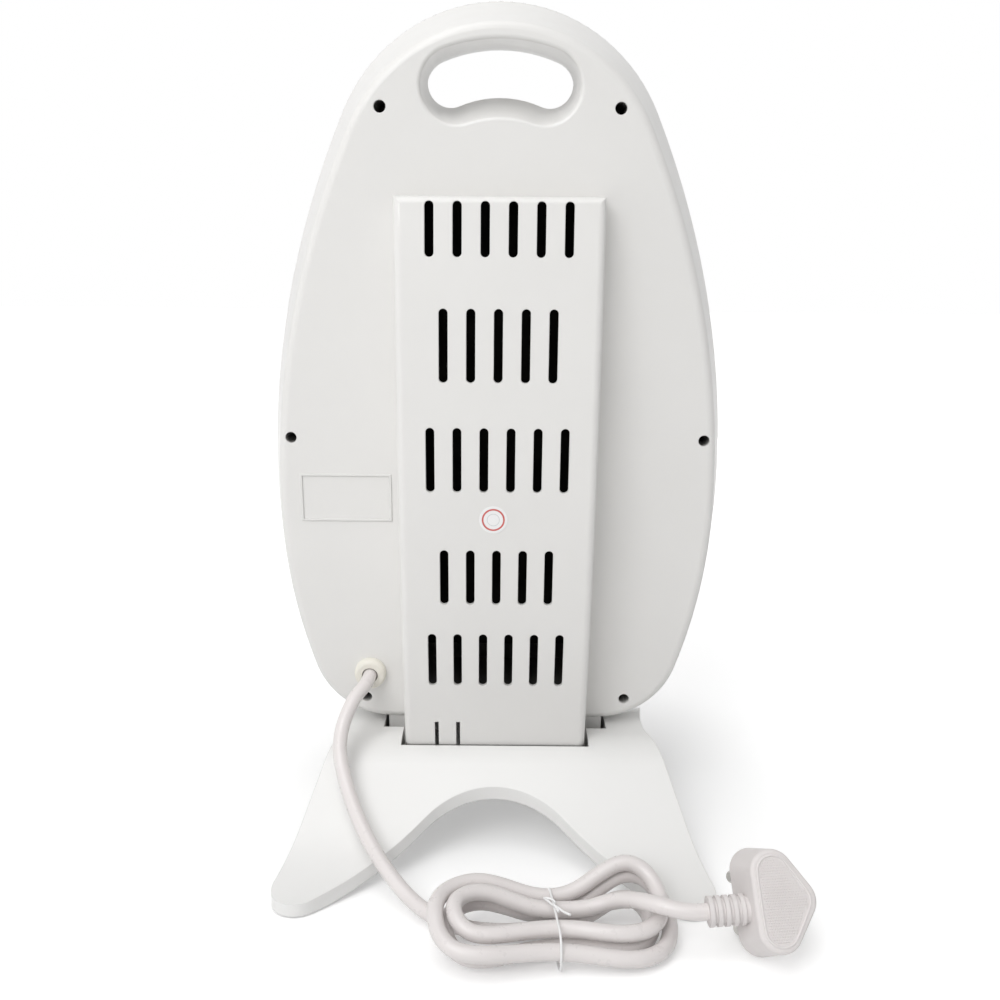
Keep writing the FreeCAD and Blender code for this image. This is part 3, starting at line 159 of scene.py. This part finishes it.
def curve_object(name, points, radius, cyclic=False):
    """Round bar along one NURBS spline with these points as its control points, which carry its radius."""
    data = bpy.data.curves.new(name, "CURVE")
    data.dimensions = "3D"
    spline = data.splines.new("NURBS")
    spline.points.add(len(points) - 1)
    for place, point in zip(spline.points, points):
        place.co = (*point, 1)
        place.radius = radius * MM
    spline.order_u = 3
    spline.use_endpoint_u = not cyclic
    spline.use_cyclic_u = cyclic
    spline.resolution_u = CURVE_STEPS
    data.bevel_depth = 1
    data.bevel_resolution = ROUND_STEPS
    data.use_fill_caps = True
    item = bpy.data.objects.new(name, data)
    bpy.context.scene.collection.objects.link(item)
    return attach(item, BODY)


def mesh_object(name, vertices, faces):
    data = bpy.data.meshes.new(name)
    data.from_pydata([tuple(vertex) for vertex in vertices], [], faces)
    data.validate()
    item = bpy.data.objects.new(name, data)
    bpy.context.scene.collection.objects.link(item)
    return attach(item, BODY)


exit_x, exit_y, exit_z = GROMMET
lead_join = hank_place(0) - hank_heading(0) * (CORD_JOIN * MM)
tail_join = hank_place(HANK_TURNS) + hank_heading(HANK_TURNS) * (CORD_JOIN * MM)
cord_points = [housing(*GROMMET), housing(exit_x, exit_y + CORD_STRAIGHT, exit_z)]
cord_points += [world(*point) for point in LEAD_POINTS]
cord_points += [lead_join - hank_heading(0) * (CORD_STRAIGHT * MM)]
cord_points += [hank_place(index / HANK_STEPS) for index in range(HANK_TURNS * HANK_STEPS + 1)]
cord_points += [tail_join + hank_heading(HANK_TURNS) * (CORD_STRAIGHT * MM)]
cord_points += [world(*point) for point in TAIL_POINTS]
cord_points += [world(*SLEEVE_TIP) + Vector(SLEEVE_HEADING) * (CORD_STRAIGHT * MM), world(*SLEEVE_TIP)]
cord = curve_object("mains_cord", cord_points, CORD_RADIUS)
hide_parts("power_cord_lead", "power_cord_hank", "power_cord_tail")

# Twist tie round the waist of the hank, with its two ends twisted together
TIE_RADIUS = 0.6
TIE_GAP = 0.35
TIE_FLOOR_GAP = 0.05
far_side = HANK_WAIST + HANK_WAIST_STEP * (HANK_TURNS - 1) / 2 + CORD_RADIUS + TIE_RADIUS + TIE_GAP
near_side = HANK_WAIST + HANK_WAIST_STEP * HANK_TURNS / 2 + CORD_RADIUS + TIE_RADIUS + TIE_GAP
tie_low = TIE_RADIUS + TIE_FLOOR_GAP
tie_high = HANK_FLOOR_GAP + 2 * CORD_RADIUS + HANK_LAYER + TIE_GAP + TIE_RADIUS
TIE_SHARES = [(-1, 0.3), (-1, 0.7), (-0.86, 1), (-0.3, 1), (0.3, 1), (0.86, 1), (1, 0.7), (1, 0.3),
              (0.86, 0), (0.3, 0), (-0.3, 0), (-0.86, 0)]
TIE_SLANT = 2.2
tie_points = []
for across, height in TIE_SHARES:
    reach = near_side if across > 0 else far_side
    tie_points.append(world(HANK_X - TIE_SLANT * across, HANK_Y + across * reach,
                            tie_low + height * (tie_high - tie_low)))
tie = curve_object("tie_loop", tie_points, TIE_RADIUS, True)
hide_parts("twist_tie")
TIE_ENDS = {
    "tie_end_long": [(5, -6, 1), (3, -2.5, 1.6), (1, 0.5, 1.2), (-1.5, 3.5, 2.2), (-4.5, 8, 2),
                     (-7.5, 11, 2.8)],
    "tie_end_short": [(4.5, -4.5, 2), (1.8, -4, 2.3), (-1, -1.5, 1.4), (0.6, 1.2, 2.4), (-1.2, 3.2, 1.2),
                      (-1.8, 6.5, 1.4)],
}
tie_ends = []
for name, spots in TIE_ENDS.items():
    ends = [world(HANK_X + x, HANK_Y + y, tie_high + z) for x, y, z in spots]
    tie_ends.append(curve_object(name, ends, TIE_RADIUS))

# Grip face of the plug: a smooth raised rim round a field of small points
PLUG_LEAN = math.radians(33)
PLUG_ROLL = math.radians(-4)
PLUG_TURN = (Matrix.Rotation(PLUG_LEAN, 3, "X") @ Matrix.Rotation(math.pi, 3, "Z")
             @ Matrix.Rotation(PLUG_ROLL, 3, "Y"))
SLEEVE_TIP_ON_PLUG = Vector((-34, 12, -3))
PLUG_AT = Vector(SLEEVE_TIP) - PLUG_TURN @ SLEEVE_TIP_ON_PLUG
GRIP_CORNERS = [Vector((-12.7, 51.9)), Vector((19.2, 0)), Vector((-12.7, -51.9))]
GRIP_ROUND = 11
RIM_INSET, RIM_RADIUS, RIM_STEPS = 2.9, 0.7, 6
FIELD_INSET, FIELD_REACH, FIELD_STEPS = 4.2, 40, 8
POINT_PITCH, POINT_HALF, POINT_RISE, POINT_SINK = 1.25, 0.5, 0.5, 0.1


def plug(x, rise, z):
    """World point of a place on the plug's grip face, raised off it."""
    return (PLUG_AT + PLUG_TURN @ Vector((x, -rise, z))) * MM


def round_centres():
    """Centres of the arcs that round the grip face's three corners."""
    centres = []
    for index, corner in enumerate(GRIP_CORNERS):
        before = (GRIP_CORNERS[index - 1] - corner).normalized()
        after = (GRIP_CORNERS[(index + 1) % 3] - corner).normalized()
        half = before.angle(after) / 2
        centres.append(corner + (before + after).normalized() * (GRIP_ROUND / math.sin(half)))
    return centres


GRIP_CENTRES = round_centres()


def grip_outline(inset, steps):
    """The grip face's rounded outline, drawn in by an inset."""
    points = []
    for index, centre in enumerate(GRIP_CENTRES):
        before = (centre - GRIP_CENTRES[index - 1]).normalized()
        after = (GRIP_CENTRES[(index + 1) % 3] - centre).normalized()
        first, last = math.atan2(before.x, -before.y), math.atan2(after.x, -after.y)
        turn = (last - first + math.pi) % (2 * math.pi) - math.pi
        for step in range(steps + 1):
            angle = first + turn * step / steps
            points.append(centre + Vector((math.cos(angle), math.sin(angle))) * (GRIP_ROUND - inset))
    return points


def inside_outline(spot, outline):
    turns = [(outline[index] - outline[index - 1]).cross(spot - outline[index])
             for index in range(len(outline))]
    return all(value > 0 for value in turns) or all(value < 0 for value in turns)


rim_points = [plug(x, 0, z) for x, z in grip_outline(RIM_INSET, RIM_STEPS)]
grip_rim = curve_object("plug_grip_rim", rim_points, RIM_RADIUS, True)


def grip_points():
    """Small four-sided points in staggered rows over the grip face."""
    outline = grip_outline(FIELD_INSET, FIELD_STEPS)
    vertices, faces = [], []
    count = int(FIELD_REACH / POINT_PITCH)
    for row in range(-count, count + 1):
        for column in range(-count, count + 1):
            spot = Vector(((column + 0.5 * (row % 2)) * POINT_PITCH, row * POINT_PITCH))
            if not inside_outline(spot, outline):
                continue
            first = len(vertices)
            for across, along in ((1, 0), (0, 1), (-1, 0), (0, -1)):
                vertices.append(plug(spot.x + across * POINT_HALF, -POINT_SINK, spot.y + along * POINT_HALF))
            vertices.append(plug(spot.x, POINT_RISE, spot.y))
            faces.append((first, first + 1, first + 2, first + 3))
            faces += [(first + (side + 1) % 4, first + side, first + 4) for side in range(4)]
    return mesh_object("plug_grip_points", vertices, faces)


grip_field = grip_points()

# Round sticker on the spine: its place across and up, and its rings as shares of the radius and rises
STICKER = (2, 148)
STICKER_RADIUS = 8
STICKER_RISE = 0.18
STICKER_RINGS = [(1, -0.05), (1, STICKER_RISE * 0.6), (0.97, STICKER_RISE), (0.5, STICKER_RISE)]
STICKER_SIDES = 48
SPINE_ARC = ((0, 74), (215, 77), (323, 65))


def spine_face(height):
    """Depth of the spine's face at a height, on the circle through its three set points."""
    (az, ay), (bz, by), (cz, cy) = SPINE_ARC
    d = 2 * (az * (by - cy) + bz * (cy - ay) + cz * (ay - by))
    oz = ((az**2 + ay**2) * (by - cy) + (bz**2 + by**2) * (cy - ay) + (cz**2 + cy**2) * (ay - by)) / d
    oy = ((az**2 + ay**2) * (cz - bz) + (bz**2 + by**2) * (az - cz) + (cz**2 + cy**2) * (bz - az)) / d
    radius = math.hypot(az - oz, ay - oy)
    return oy + math.sqrt(radius**2 - (height - oz)**2)


def sticker():
    count = STICKER_SIDES
    vertices = []
    for share, rise in STICKER_RINGS:
        for index in range(count):
            angle = 2 * math.pi * index / count
            height = STICKER[1] + STICKER_RADIUS * share * math.sin(angle)
            vertices.append(housing(STICKER[0] + STICKER_RADIUS * share * math.cos(angle),
                                    spine_face(height) + rise, height))
    faces = []
    last = len(STICKER_RINGS) - 1
    for ring in range(last):
        for index in range(count):
            after = (index + 1) % count
            faces.append((ring * count + index, ring * count + after, (ring + 1) * count + after,
                          (ring + 1) * count + index))
    faces.append(tuple(range(last * count, (last + 1) * count)))
    faces.append(tuple(reversed(range(count))))
    return mesh_object("round_sticker", vertices, faces)


label = sticker()

# Materials: each takes its grain, shade and gloss from nodes on the object's own coordinates
NOISE_LOW, NOISE_HIGH = 0.3, 0.7
CLOUD_DETAIL, GLOSS_DETAIL, GRAIN_DETAIL = 4, 3, 2
GLOSS_SCALE, GLOSS_SPREAD = 6, 0.12
BEVEL_SAMPLES = 6


def new_material(name):
    material = bpy.data.materials.new(name)
    material.use_nodes = True
    tree = material.node_tree
    return material, tree, tree.nodes["Principled BSDF"]


def noise(tree, scale, detail, stretch=None):
    where = tree.nodes.new("ShaderNodeTexCoord").outputs["Object"]
    if stretch:
        mapping = tree.nodes.new("ShaderNodeMapping")
        mapping.inputs["Scale"].default_value = stretch
        tree.links.new(where, mapping.inputs["Vector"])
        where = mapping.outputs["Vector"]
    node = tree.nodes.new("ShaderNodeTexNoise")
    node.inputs["Scale"].default_value = scale
    node.inputs["Detail"].default_value = detail
    tree.links.new(where, node.inputs["Vector"])
    return node.outputs["Fac"]


def mapped(tree, value, start, end, low=0, high=1, smooth_step=False):
    """Value that goes from low to high as another goes from start to end."""
    node = tree.nodes.new("ShaderNodeMapRange")
    if smooth_step:
        node.interpolation_type = "SMOOTHSTEP"
    node.inputs["From Min"].default_value = start
    node.inputs["From Max"].default_value = end
    node.inputs["To Min"].default_value = low
    node.inputs["To Max"].default_value = high
    tree.links.new(value, node.inputs["Value"])
    return node.outputs["Result"]


def span(tree, factor, low, high):
    """Noise spread over a range of numbers."""
    return mapped(tree, factor, NOISE_LOW, NOISE_HIGH, low, high)


def shade(tree, factor, dark, light):
    """Noise spread over a range of colours."""
    node = tree.nodes.new("ShaderNodeValToRGB")
    node.color_ramp.elements[0].position = NOISE_LOW
    node.color_ramp.elements[1].position = NOISE_HIGH
    node.color_ramp.elements[0].color = (*dark, 1)
    node.color_ramp.elements[1].color = (*light, 1)
    tree.links.new(factor, node.inputs["Fac"])
    return node.outputs["Color"]


def blended(tree, factor, first, second):
    """First colour where the factor is 0, second where it is 1."""
    mix = tree.nodes.new("ShaderNodeMix")
    mix.data_type = "RGBA"
    tree.links.new(factor, mix.inputs["Factor"])
    for color, socket in ((first, mix.inputs["A"]), (second, mix.inputs["B"])):
        if isinstance(color, tuple):
            socket.default_value = (*color, 1)
        else:
            tree.links.new(color, socket)
    return mix.outputs["Result"]


def length_from(tree, centre=None):
    """Distance from a point, or from the origin, on the object's own coordinates."""
    where = tree.nodes.new("ShaderNodeTexCoord").outputs["Object"]
    if centre is not None:
        place = tree.nodes.new("ShaderNodeMapping")
        place.inputs["Location"].default_value = -centre
        tree.links.new(where, place.inputs["Vector"])
        where = place.outputs["Vector"]
    apart = tree.nodes.new("ShaderNodeVectorMath")
    apart.operation = "LENGTH"
    tree.links.new(where, apart.inputs[0])
    return apart.outputs["Value"]


def grained(tree, shader, height, depth, edge):
    """Bump from a height field, over edges softened by a small radius."""
    bump = tree.nodes.new("ShaderNodeBump")
    bump.inputs["Strength"].default_value = 1
    bump.inputs["Distance"].default_value = depth * MM
    tree.links.new(height, bump.inputs["Height"])
    if edge:
        bevel = tree.nodes.new("ShaderNodeBevel")
        bevel.samples = BEVEL_SAMPLES
        bevel.inputs["Radius"].default_value = edge * MM
        tree.links.new(bevel.outputs["Normal"], bump.inputs["Normal"])
    tree.links.new(bump.outputs["Normal"], shader.inputs["Normal"])


# Painted shade in narrow holes: how far to look for walls, samples, the openness where it is full and where
# it ends, and its dark colour
HOLE_SHADE_REACH = 7
HOLE_SHADE_SAMPLES = 8
HOLE_SHADE_CLOSED, HOLE_SHADE_OPEN = 0.2, 0.5
HOLE_SHADE_DARK = (0.03, 0.027, 0.023)


def hole_shaded(tree, color):
    """Colour with painted shade, which goes dark deep inside narrow holes."""
    hole = tree.nodes.new("ShaderNodeAmbientOcclusion")
    hole.samples = HOLE_SHADE_SAMPLES
    hole.inputs["Distance"].default_value = HOLE_SHADE_REACH * MM
    return blended(tree, mapped(tree, hole.outputs["AO"], HOLE_SHADE_CLOSED, HOLE_SHADE_OPEN), HOLE_SHADE_DARK, color)


def finish(name, color, roughness, metallic=0, spread=0.03, patch=14, grain=1500, depth=0.02, edge=0.5,
           stretch=None, hole_shade=False):
    """Moulded or metal finish: cloudy shade, uneven gloss and a fine grain, depth and edge in millimetres."""
    material, tree, shader = new_material(name)
    dark = [value * (1 - spread) for value in color]
    light = [min(1, value * (1 + spread)) for value in color]
    cloud = shade(tree, noise(tree, patch, CLOUD_DETAIL), dark, light)
    # Where it is asked for, painted shade darkens the colour deep inside narrow holes
    tree.links.new(hole_shaded(tree, cloud) if hole_shade else cloud, shader.inputs["Base Color"])
    gloss = noise(tree, patch * GLOSS_SCALE, GLOSS_DETAIL, stretch)
    tree.links.new(span(tree, gloss, roughness * (1 - GLOSS_SPREAD), roughness * (1 + GLOSS_SPREAD)),
                   shader.inputs["Roughness"])
    shader.inputs["Metallic"].default_value = metallic
    grained(tree, shader, noise(tree, grain, GRAIN_DETAIL, stretch), depth, edge)
    return material


FINISHES = {
    # The housing gets painted shade in its narrow holes
    "housing_white": dict(color=(0.76, 0.752, 0.735), roughness=0.36, spread=0.012, grain=1800, depth=0.012,
                          edge=0.8, hole_shade=True),
    "base_white": dict(color=(0.80, 0.797, 0.785), roughness=0.34, spread=0.012, grain=1600, depth=0.012,
                       edge=0.8),
    "foot_rubber": dict(color=(0.03, 0.03, 0.03), roughness=0.8, spread=0.2, grain=900, depth=0.05),
    "zinc_steel": dict(color=(0.5, 0.49, 0.47), roughness=0.35, metallic=1, spread=0.12, patch=90,
                       grain=2500),
    "guard_chrome": dict(color=(0.78, 0.78, 0.79), roughness=0.12, metallic=1, spread=0.05, patch=60,
                         depth=0.006),
    "coil_wire": dict(color=(0.36, 0.31, 0.27), roughness=0.42, metallic=1, spread=0.3, patch=300),
    "ceramic": dict(color=(0.78, 0.75, 0.68), roughness=0.25, spread=0.05, patch=60, depth=0.03),
    "terminal_plastic": dict(color=(0.74, 0.7, 0.58), roughness=0.45, spread=0.05),
    "wire_sleeve": dict(color=(0.6, 0.56, 0.46), roughness=0.7, spread=0.12, patch=200, grain=2200,
                        depth=0.08),
    "switch_black": dict(color=(0.02, 0.02, 0.021), roughness=0.4, spread=0.2),
    "rocker_red": dict(color=(0.42, 0.02, 0.015), roughness=0.28, spread=0.08, depth=0.015),
    "plunger_plastic": dict(color=(0.72, 0.71, 0.69), roughness=0.45, spread=0.04),
    "grommet_ivory": dict(color=(0.79, 0.765, 0.69), roughness=0.42, spread=0.05, patch=120, grain=1400,
                          depth=0.03),
    "clamp_plastic": dict(color=(0.66, 0.66, 0.65), roughness=0.45, spread=0.04),
    "cord_grey": dict(color=(0.735, 0.698, 0.688), roughness=0.3, spread=0.03, patch=40, grain=1300,
                      depth=0.03, edge=0),
    "tie_white": dict(color=(0.86, 0.86, 0.86), roughness=0.4, spread=0.02, patch=150),
    "pin_chrome": dict(color=(0.42, 0.4, 0.37), roughness=0.2, metallic=1, spread=0.12, patch=160, grain=900,
                       depth=0.01, stretch=(1, 6, 1)),
}
SCREW_BLACK = dict(color=(0.03, 0.027, 0.024), roughness=0.5, metallic=0.7, spread=0.2, patch=200, grain=2500)


def quartz_material():
    """Clear tube, faintly streaked along its length."""
    material, tree, shader = new_material("quartz")
    clear = shade(tree, noise(tree, 60, CLOUD_DETAIL), (0.9, 0.9, 0.89), (0.97, 0.97, 0.96))
    tree.links.new(clear, shader.inputs["Base Color"])
    gloss = noise(tree, 90, GLOSS_DETAIL, (1, 1, 0.1))
    tree.links.new(span(tree, gloss, 0.05, 0.13), shader.inputs["Roughness"])
    shader.inputs["Transmission Weight"].default_value = 0.88
    shader.inputs["IOR"].default_value = 1.46
    grained(tree, shader, noise(tree, 500, GRAIN_DETAIL, (1, 1, 0.05)), 0.02, 0)
    return material


# Share of a wall's normal that points to the back, where the painted shade begins and where it is full
SHADE_START, SHADE_FULL = 0.02, 0.2


def painted_inside_shade(tree, outer, shade_color):
    """Colour with painted shade on the walls that face the back, inside the case, and the share of that
    shade.
    """
    facing = tree.nodes.new("ShaderNodeSeparateXYZ")
    tree.links.new(tree.nodes.new("ShaderNodeNewGeometry").outputs["Normal"], facing.inputs["Vector"])
    back = mapped(tree, facing.outputs["Y"], SHADE_START, SHADE_FULL)
    return blended(tree, back, outer, shade_color), back


def bezel_material():
    """White moulding, with painted shade on the walls inside the case that face the back."""
    material, tree, shader = new_material("bezel_white")
    white = shade(tree, noise(tree, 14, CLOUD_DETAIL), (0.751, 0.743, 0.726), (0.769, 0.761, 0.744))
    # Near black painted shade for the walls inside the case that face the back
    inside_shade = shade(tree, noise(tree, 40, CLOUD_DETAIL), (0.03, 0.027, 0.023), (0.06, 0.054, 0.046))
    color, _ = painted_inside_shade(tree, white, inside_shade)
    tree.links.new(color, shader.inputs["Base Color"])
    tree.links.new(span(tree, noise(tree, 84, GLOSS_DETAIL), 0.317, 0.403), shader.inputs["Roughness"])
    grained(tree, shader, noise(tree, 1800, GRAIN_DETAIL), 0.012, 0.8)
    return material


PAPER, RED, GREY = (0.86, 0.86, 0.86, 1), (0.55, 0.08, 0.07, 1), (0.5, 0.5, 0.5, 1)
# Colours of the sticker at shares of its radius
STICKER_COLORS = ((0.4, PAPER), (0.43, GREY), (0.46, PAPER), (0.68, PAPER), (0.71, RED), (0.8, RED),
                  (0.83, PAPER))


def sticker_material():
    """White paper disc with one plain red ring and one fine grey ring."""
    material, tree, shader = new_material("sticker_paper")
    centre = housing(STICKER[0], spine_face(STICKER[1]), STICKER[1])
    share = mapped(tree, length_from(tree, centre), 0, STICKER_RADIUS * MM)
    rings = tree.nodes.new("ShaderNodeValToRGB")
    ramp = rings.color_ramp
    ramp.elements[0].color = PAPER
    ramp.elements[1].color = PAPER
    for position, color in STICKER_COLORS:
        ramp.elements.new(position).color = color
    tree.links.new(share, rings.inputs["Fac"])
    tree.links.new(rings.outputs["Color"], shader.inputs["Base Color"])
    tree.links.new(span(tree, noise(tree, 300, GLOSS_DETAIL), 0.4, 0.55), shader.inputs["Roughness"])
    grained(tree, shader, noise(tree, 2500, GRAIN_DETAIL), 0.02, 0)
    return material


def plug_material():
    """Soft moulding with a fine leathery grain."""
    material, tree, shader = new_material("plug_grey")
    grey = shade(tree, noise(tree, 30, CLOUD_DETAIL), (0.695, 0.66, 0.652), (0.735, 0.7, 0.692))
    tree.links.new(grey, shader.inputs["Base Color"])
    tree.links.new(span(tree, noise(tree, 200, GLOSS_DETAIL), 0.42, 0.55), shader.inputs["Roughness"])
    where = tree.nodes.new("ShaderNodeTexCoord")
    dots = tree.nodes.new("ShaderNodeTexVoronoi")
    dots.inputs["Scale"].default_value = 1400
    dots.inputs["Randomness"].default_value = 0.25
    tree.links.new(where.outputs["Object"], dots.inputs["Vector"])
    grained(tree, shader, dots.outputs["Distance"], 0.06, 0.6)
    return material


def reflector_material():
    """Bright trough, with painted shade on its back, inside the case."""
    material, tree, shader = new_material("reflector_metal")
    bright = shade(tree, noise(tree, 30, CLOUD_DETAIL), (0.56, 0.56, 0.57), (0.66, 0.66, 0.67))
    # Near black painted shade for the trough's back, inside the case
    back_shade = shade(tree, noise(tree, 50, CLOUD_DETAIL), (0.012, 0.011, 0.01), (0.03, 0.028, 0.026))
    color, back = painted_inside_shade(tree, bright, back_shade)
    tree.links.new(color, shader.inputs["Base Color"])
    tree.links.new(mapped(tree, back, 0, 1, 0.18, 0.75), shader.inputs["Roughness"])
    shader.inputs["Metallic"].default_value = 1
    grained(tree, shader, noise(tree, 220, GRAIN_DETAIL, (8, 8, 0.6)), 0.03, 0.5)
    return material


MATERIALS = {name: finish(name, **values) for name, values in FINISHES.items()}
MATERIALS["quartz"] = quartz_material()
MATERIALS["reflector_metal"] = reflector_material()
MATERIALS["plug_grey"] = plug_material()

for entry in frame["record"]["subparts"]:
    data = NODES[entry["node"]].data
    data.materials.clear()
    data.materials.append(MATERIALS[entry["material_slot"]])
NODES["front_bezel"].data.materials[0] = bezel_material()
NODES["case_screws"].data.materials[0] = finish("screw_black", **SCREW_BLACK)
cord.data.materials.append(MATERIALS["cord_grey"])
for item in [tie] + tie_ends:
    item.data.materials.append(MATERIALS["tie_white"])
label.data.materials.append(sticker_material())
for item in (grip_rim, grip_field):
    item.data.materials.append(MATERIALS["plug_grey"])

# Floor, world and lamps
FLOOR_HALF = 60
# Two glows that are added: the distances in metres where each begins and ends, and its strength there
FLOOR_GLOWS = ((0.13, 0.27, 0.22, 0.42), (0.3, 1.2, 0, 0.28))
WORLD_LEVEL = 0.44

floor_data = bpy.data.meshes.new("floor")
floor_corners = [(FLOOR_HALF * x, FLOOR_HALF * y, 0) for x, y in ((-1, -1), (1, -1), (1, 1), (-1, 1))]
floor_data.from_pydata(floor_corners, [], [(0, 1, 2, 3)])
floor = bpy.data.objects.new("floor", floor_data)
bpy.context.scene.collection.objects.link(floor)


def combined(tree, operation, first, second):
    node = tree.nodes.new("ShaderNodeMath")
    node.operation = operation
    tree.links.new(first, node.inputs[0])
    tree.links.new(second, node.inputs[1])
    return node.outputs[0]


def seen(tree):
    """1 for camera, glossy and transmission rays, else 0."""
    path = tree.nodes.new("ShaderNodeLightPath")
    first = combined(tree, "MAXIMUM", path.outputs["Is Camera Ray"], path.outputs["Is Glossy Ray"])
    return combined(tree, "MAXIMUM", first, path.outputs["Is Transmission Ray"])


floor_material, tree, shader = new_material("floor")
shader.inputs["Roughness"].default_value = 0.9
floor_white = shade(tree, noise(tree, 2, 2), (0.86, 0.86, 0.86), (0.88, 0.88, 0.88))
tree.links.new(floor_white, shader.inputs["Base Color"])
apart = length_from(tree)
near_glow, far_glow = [mapped(tree, apart, *numbers, smooth_step=True) for numbers in FLOOR_GLOWS]
glow = combined(tree, "MULTIPLY", seen(tree), combined(tree, "ADD", near_glow, far_glow))
shader.inputs["Emission Color"].default_value = (1, 1, 1, 1)
tree.links.new(glow, shader.inputs["Emission Strength"])
floor_data.materials.append(floor_material)

sky = bpy.data.worlds.new("studio")
bpy.context.scene.world = sky
sky.use_nodes = True
tree = sky.node_tree
background = tree.nodes["Background"]
background.inputs["Color"].default_value = (1, 1, 1, 1)
tree.links.new(mapped(tree, seen(tree), 0, 1, WORLD_LEVEL, 1), background.inputs["Strength"])

# Lamps: place, target, width and height in metres, power in watts
LAMPS = {
    "key_lamp": ((0.8, 1.6, 1.5), (0, 0, 0.25), 1.2, 1.2, 20.5),
    "top_lamp": ((0.3, 0.6, 1.9), (0, 0.05, 0.1), 1.2, 1.0, 8.5),
    "side_lamp": ((1.6, 0.6, 0.7), (0, 0, 0.25), 0.8, 1.2, 1.5),
    "front_lamp": ((0, -1.9, 0.3), (0, 0, 0.25), 2.2, 1.4, 10),
}


def lamp(name, place, target, width, height, power):
    data = bpy.data.lights.new(name, "AREA")
    data.shape = "RECTANGLE"
    data.size = width
    data.size_y = height
    data.energy = power
    item = bpy.data.objects.new(name, data)
    bpy.context.scene.collection.objects.link(item)
    item.location = place
    item.rotation_euler = (Vector(target) - Vector(place)).to_track_quat("-Z", "Y").to_euler()
    return item


lamps = {name: lamp(name, *numbers) for name, numbers in LAMPS.items()}
# The reflector would mirror this one as glare
lamps["front_lamp"].visible_glossy = False

bpy.context.scene.view_settings.view_transform = "Standard"
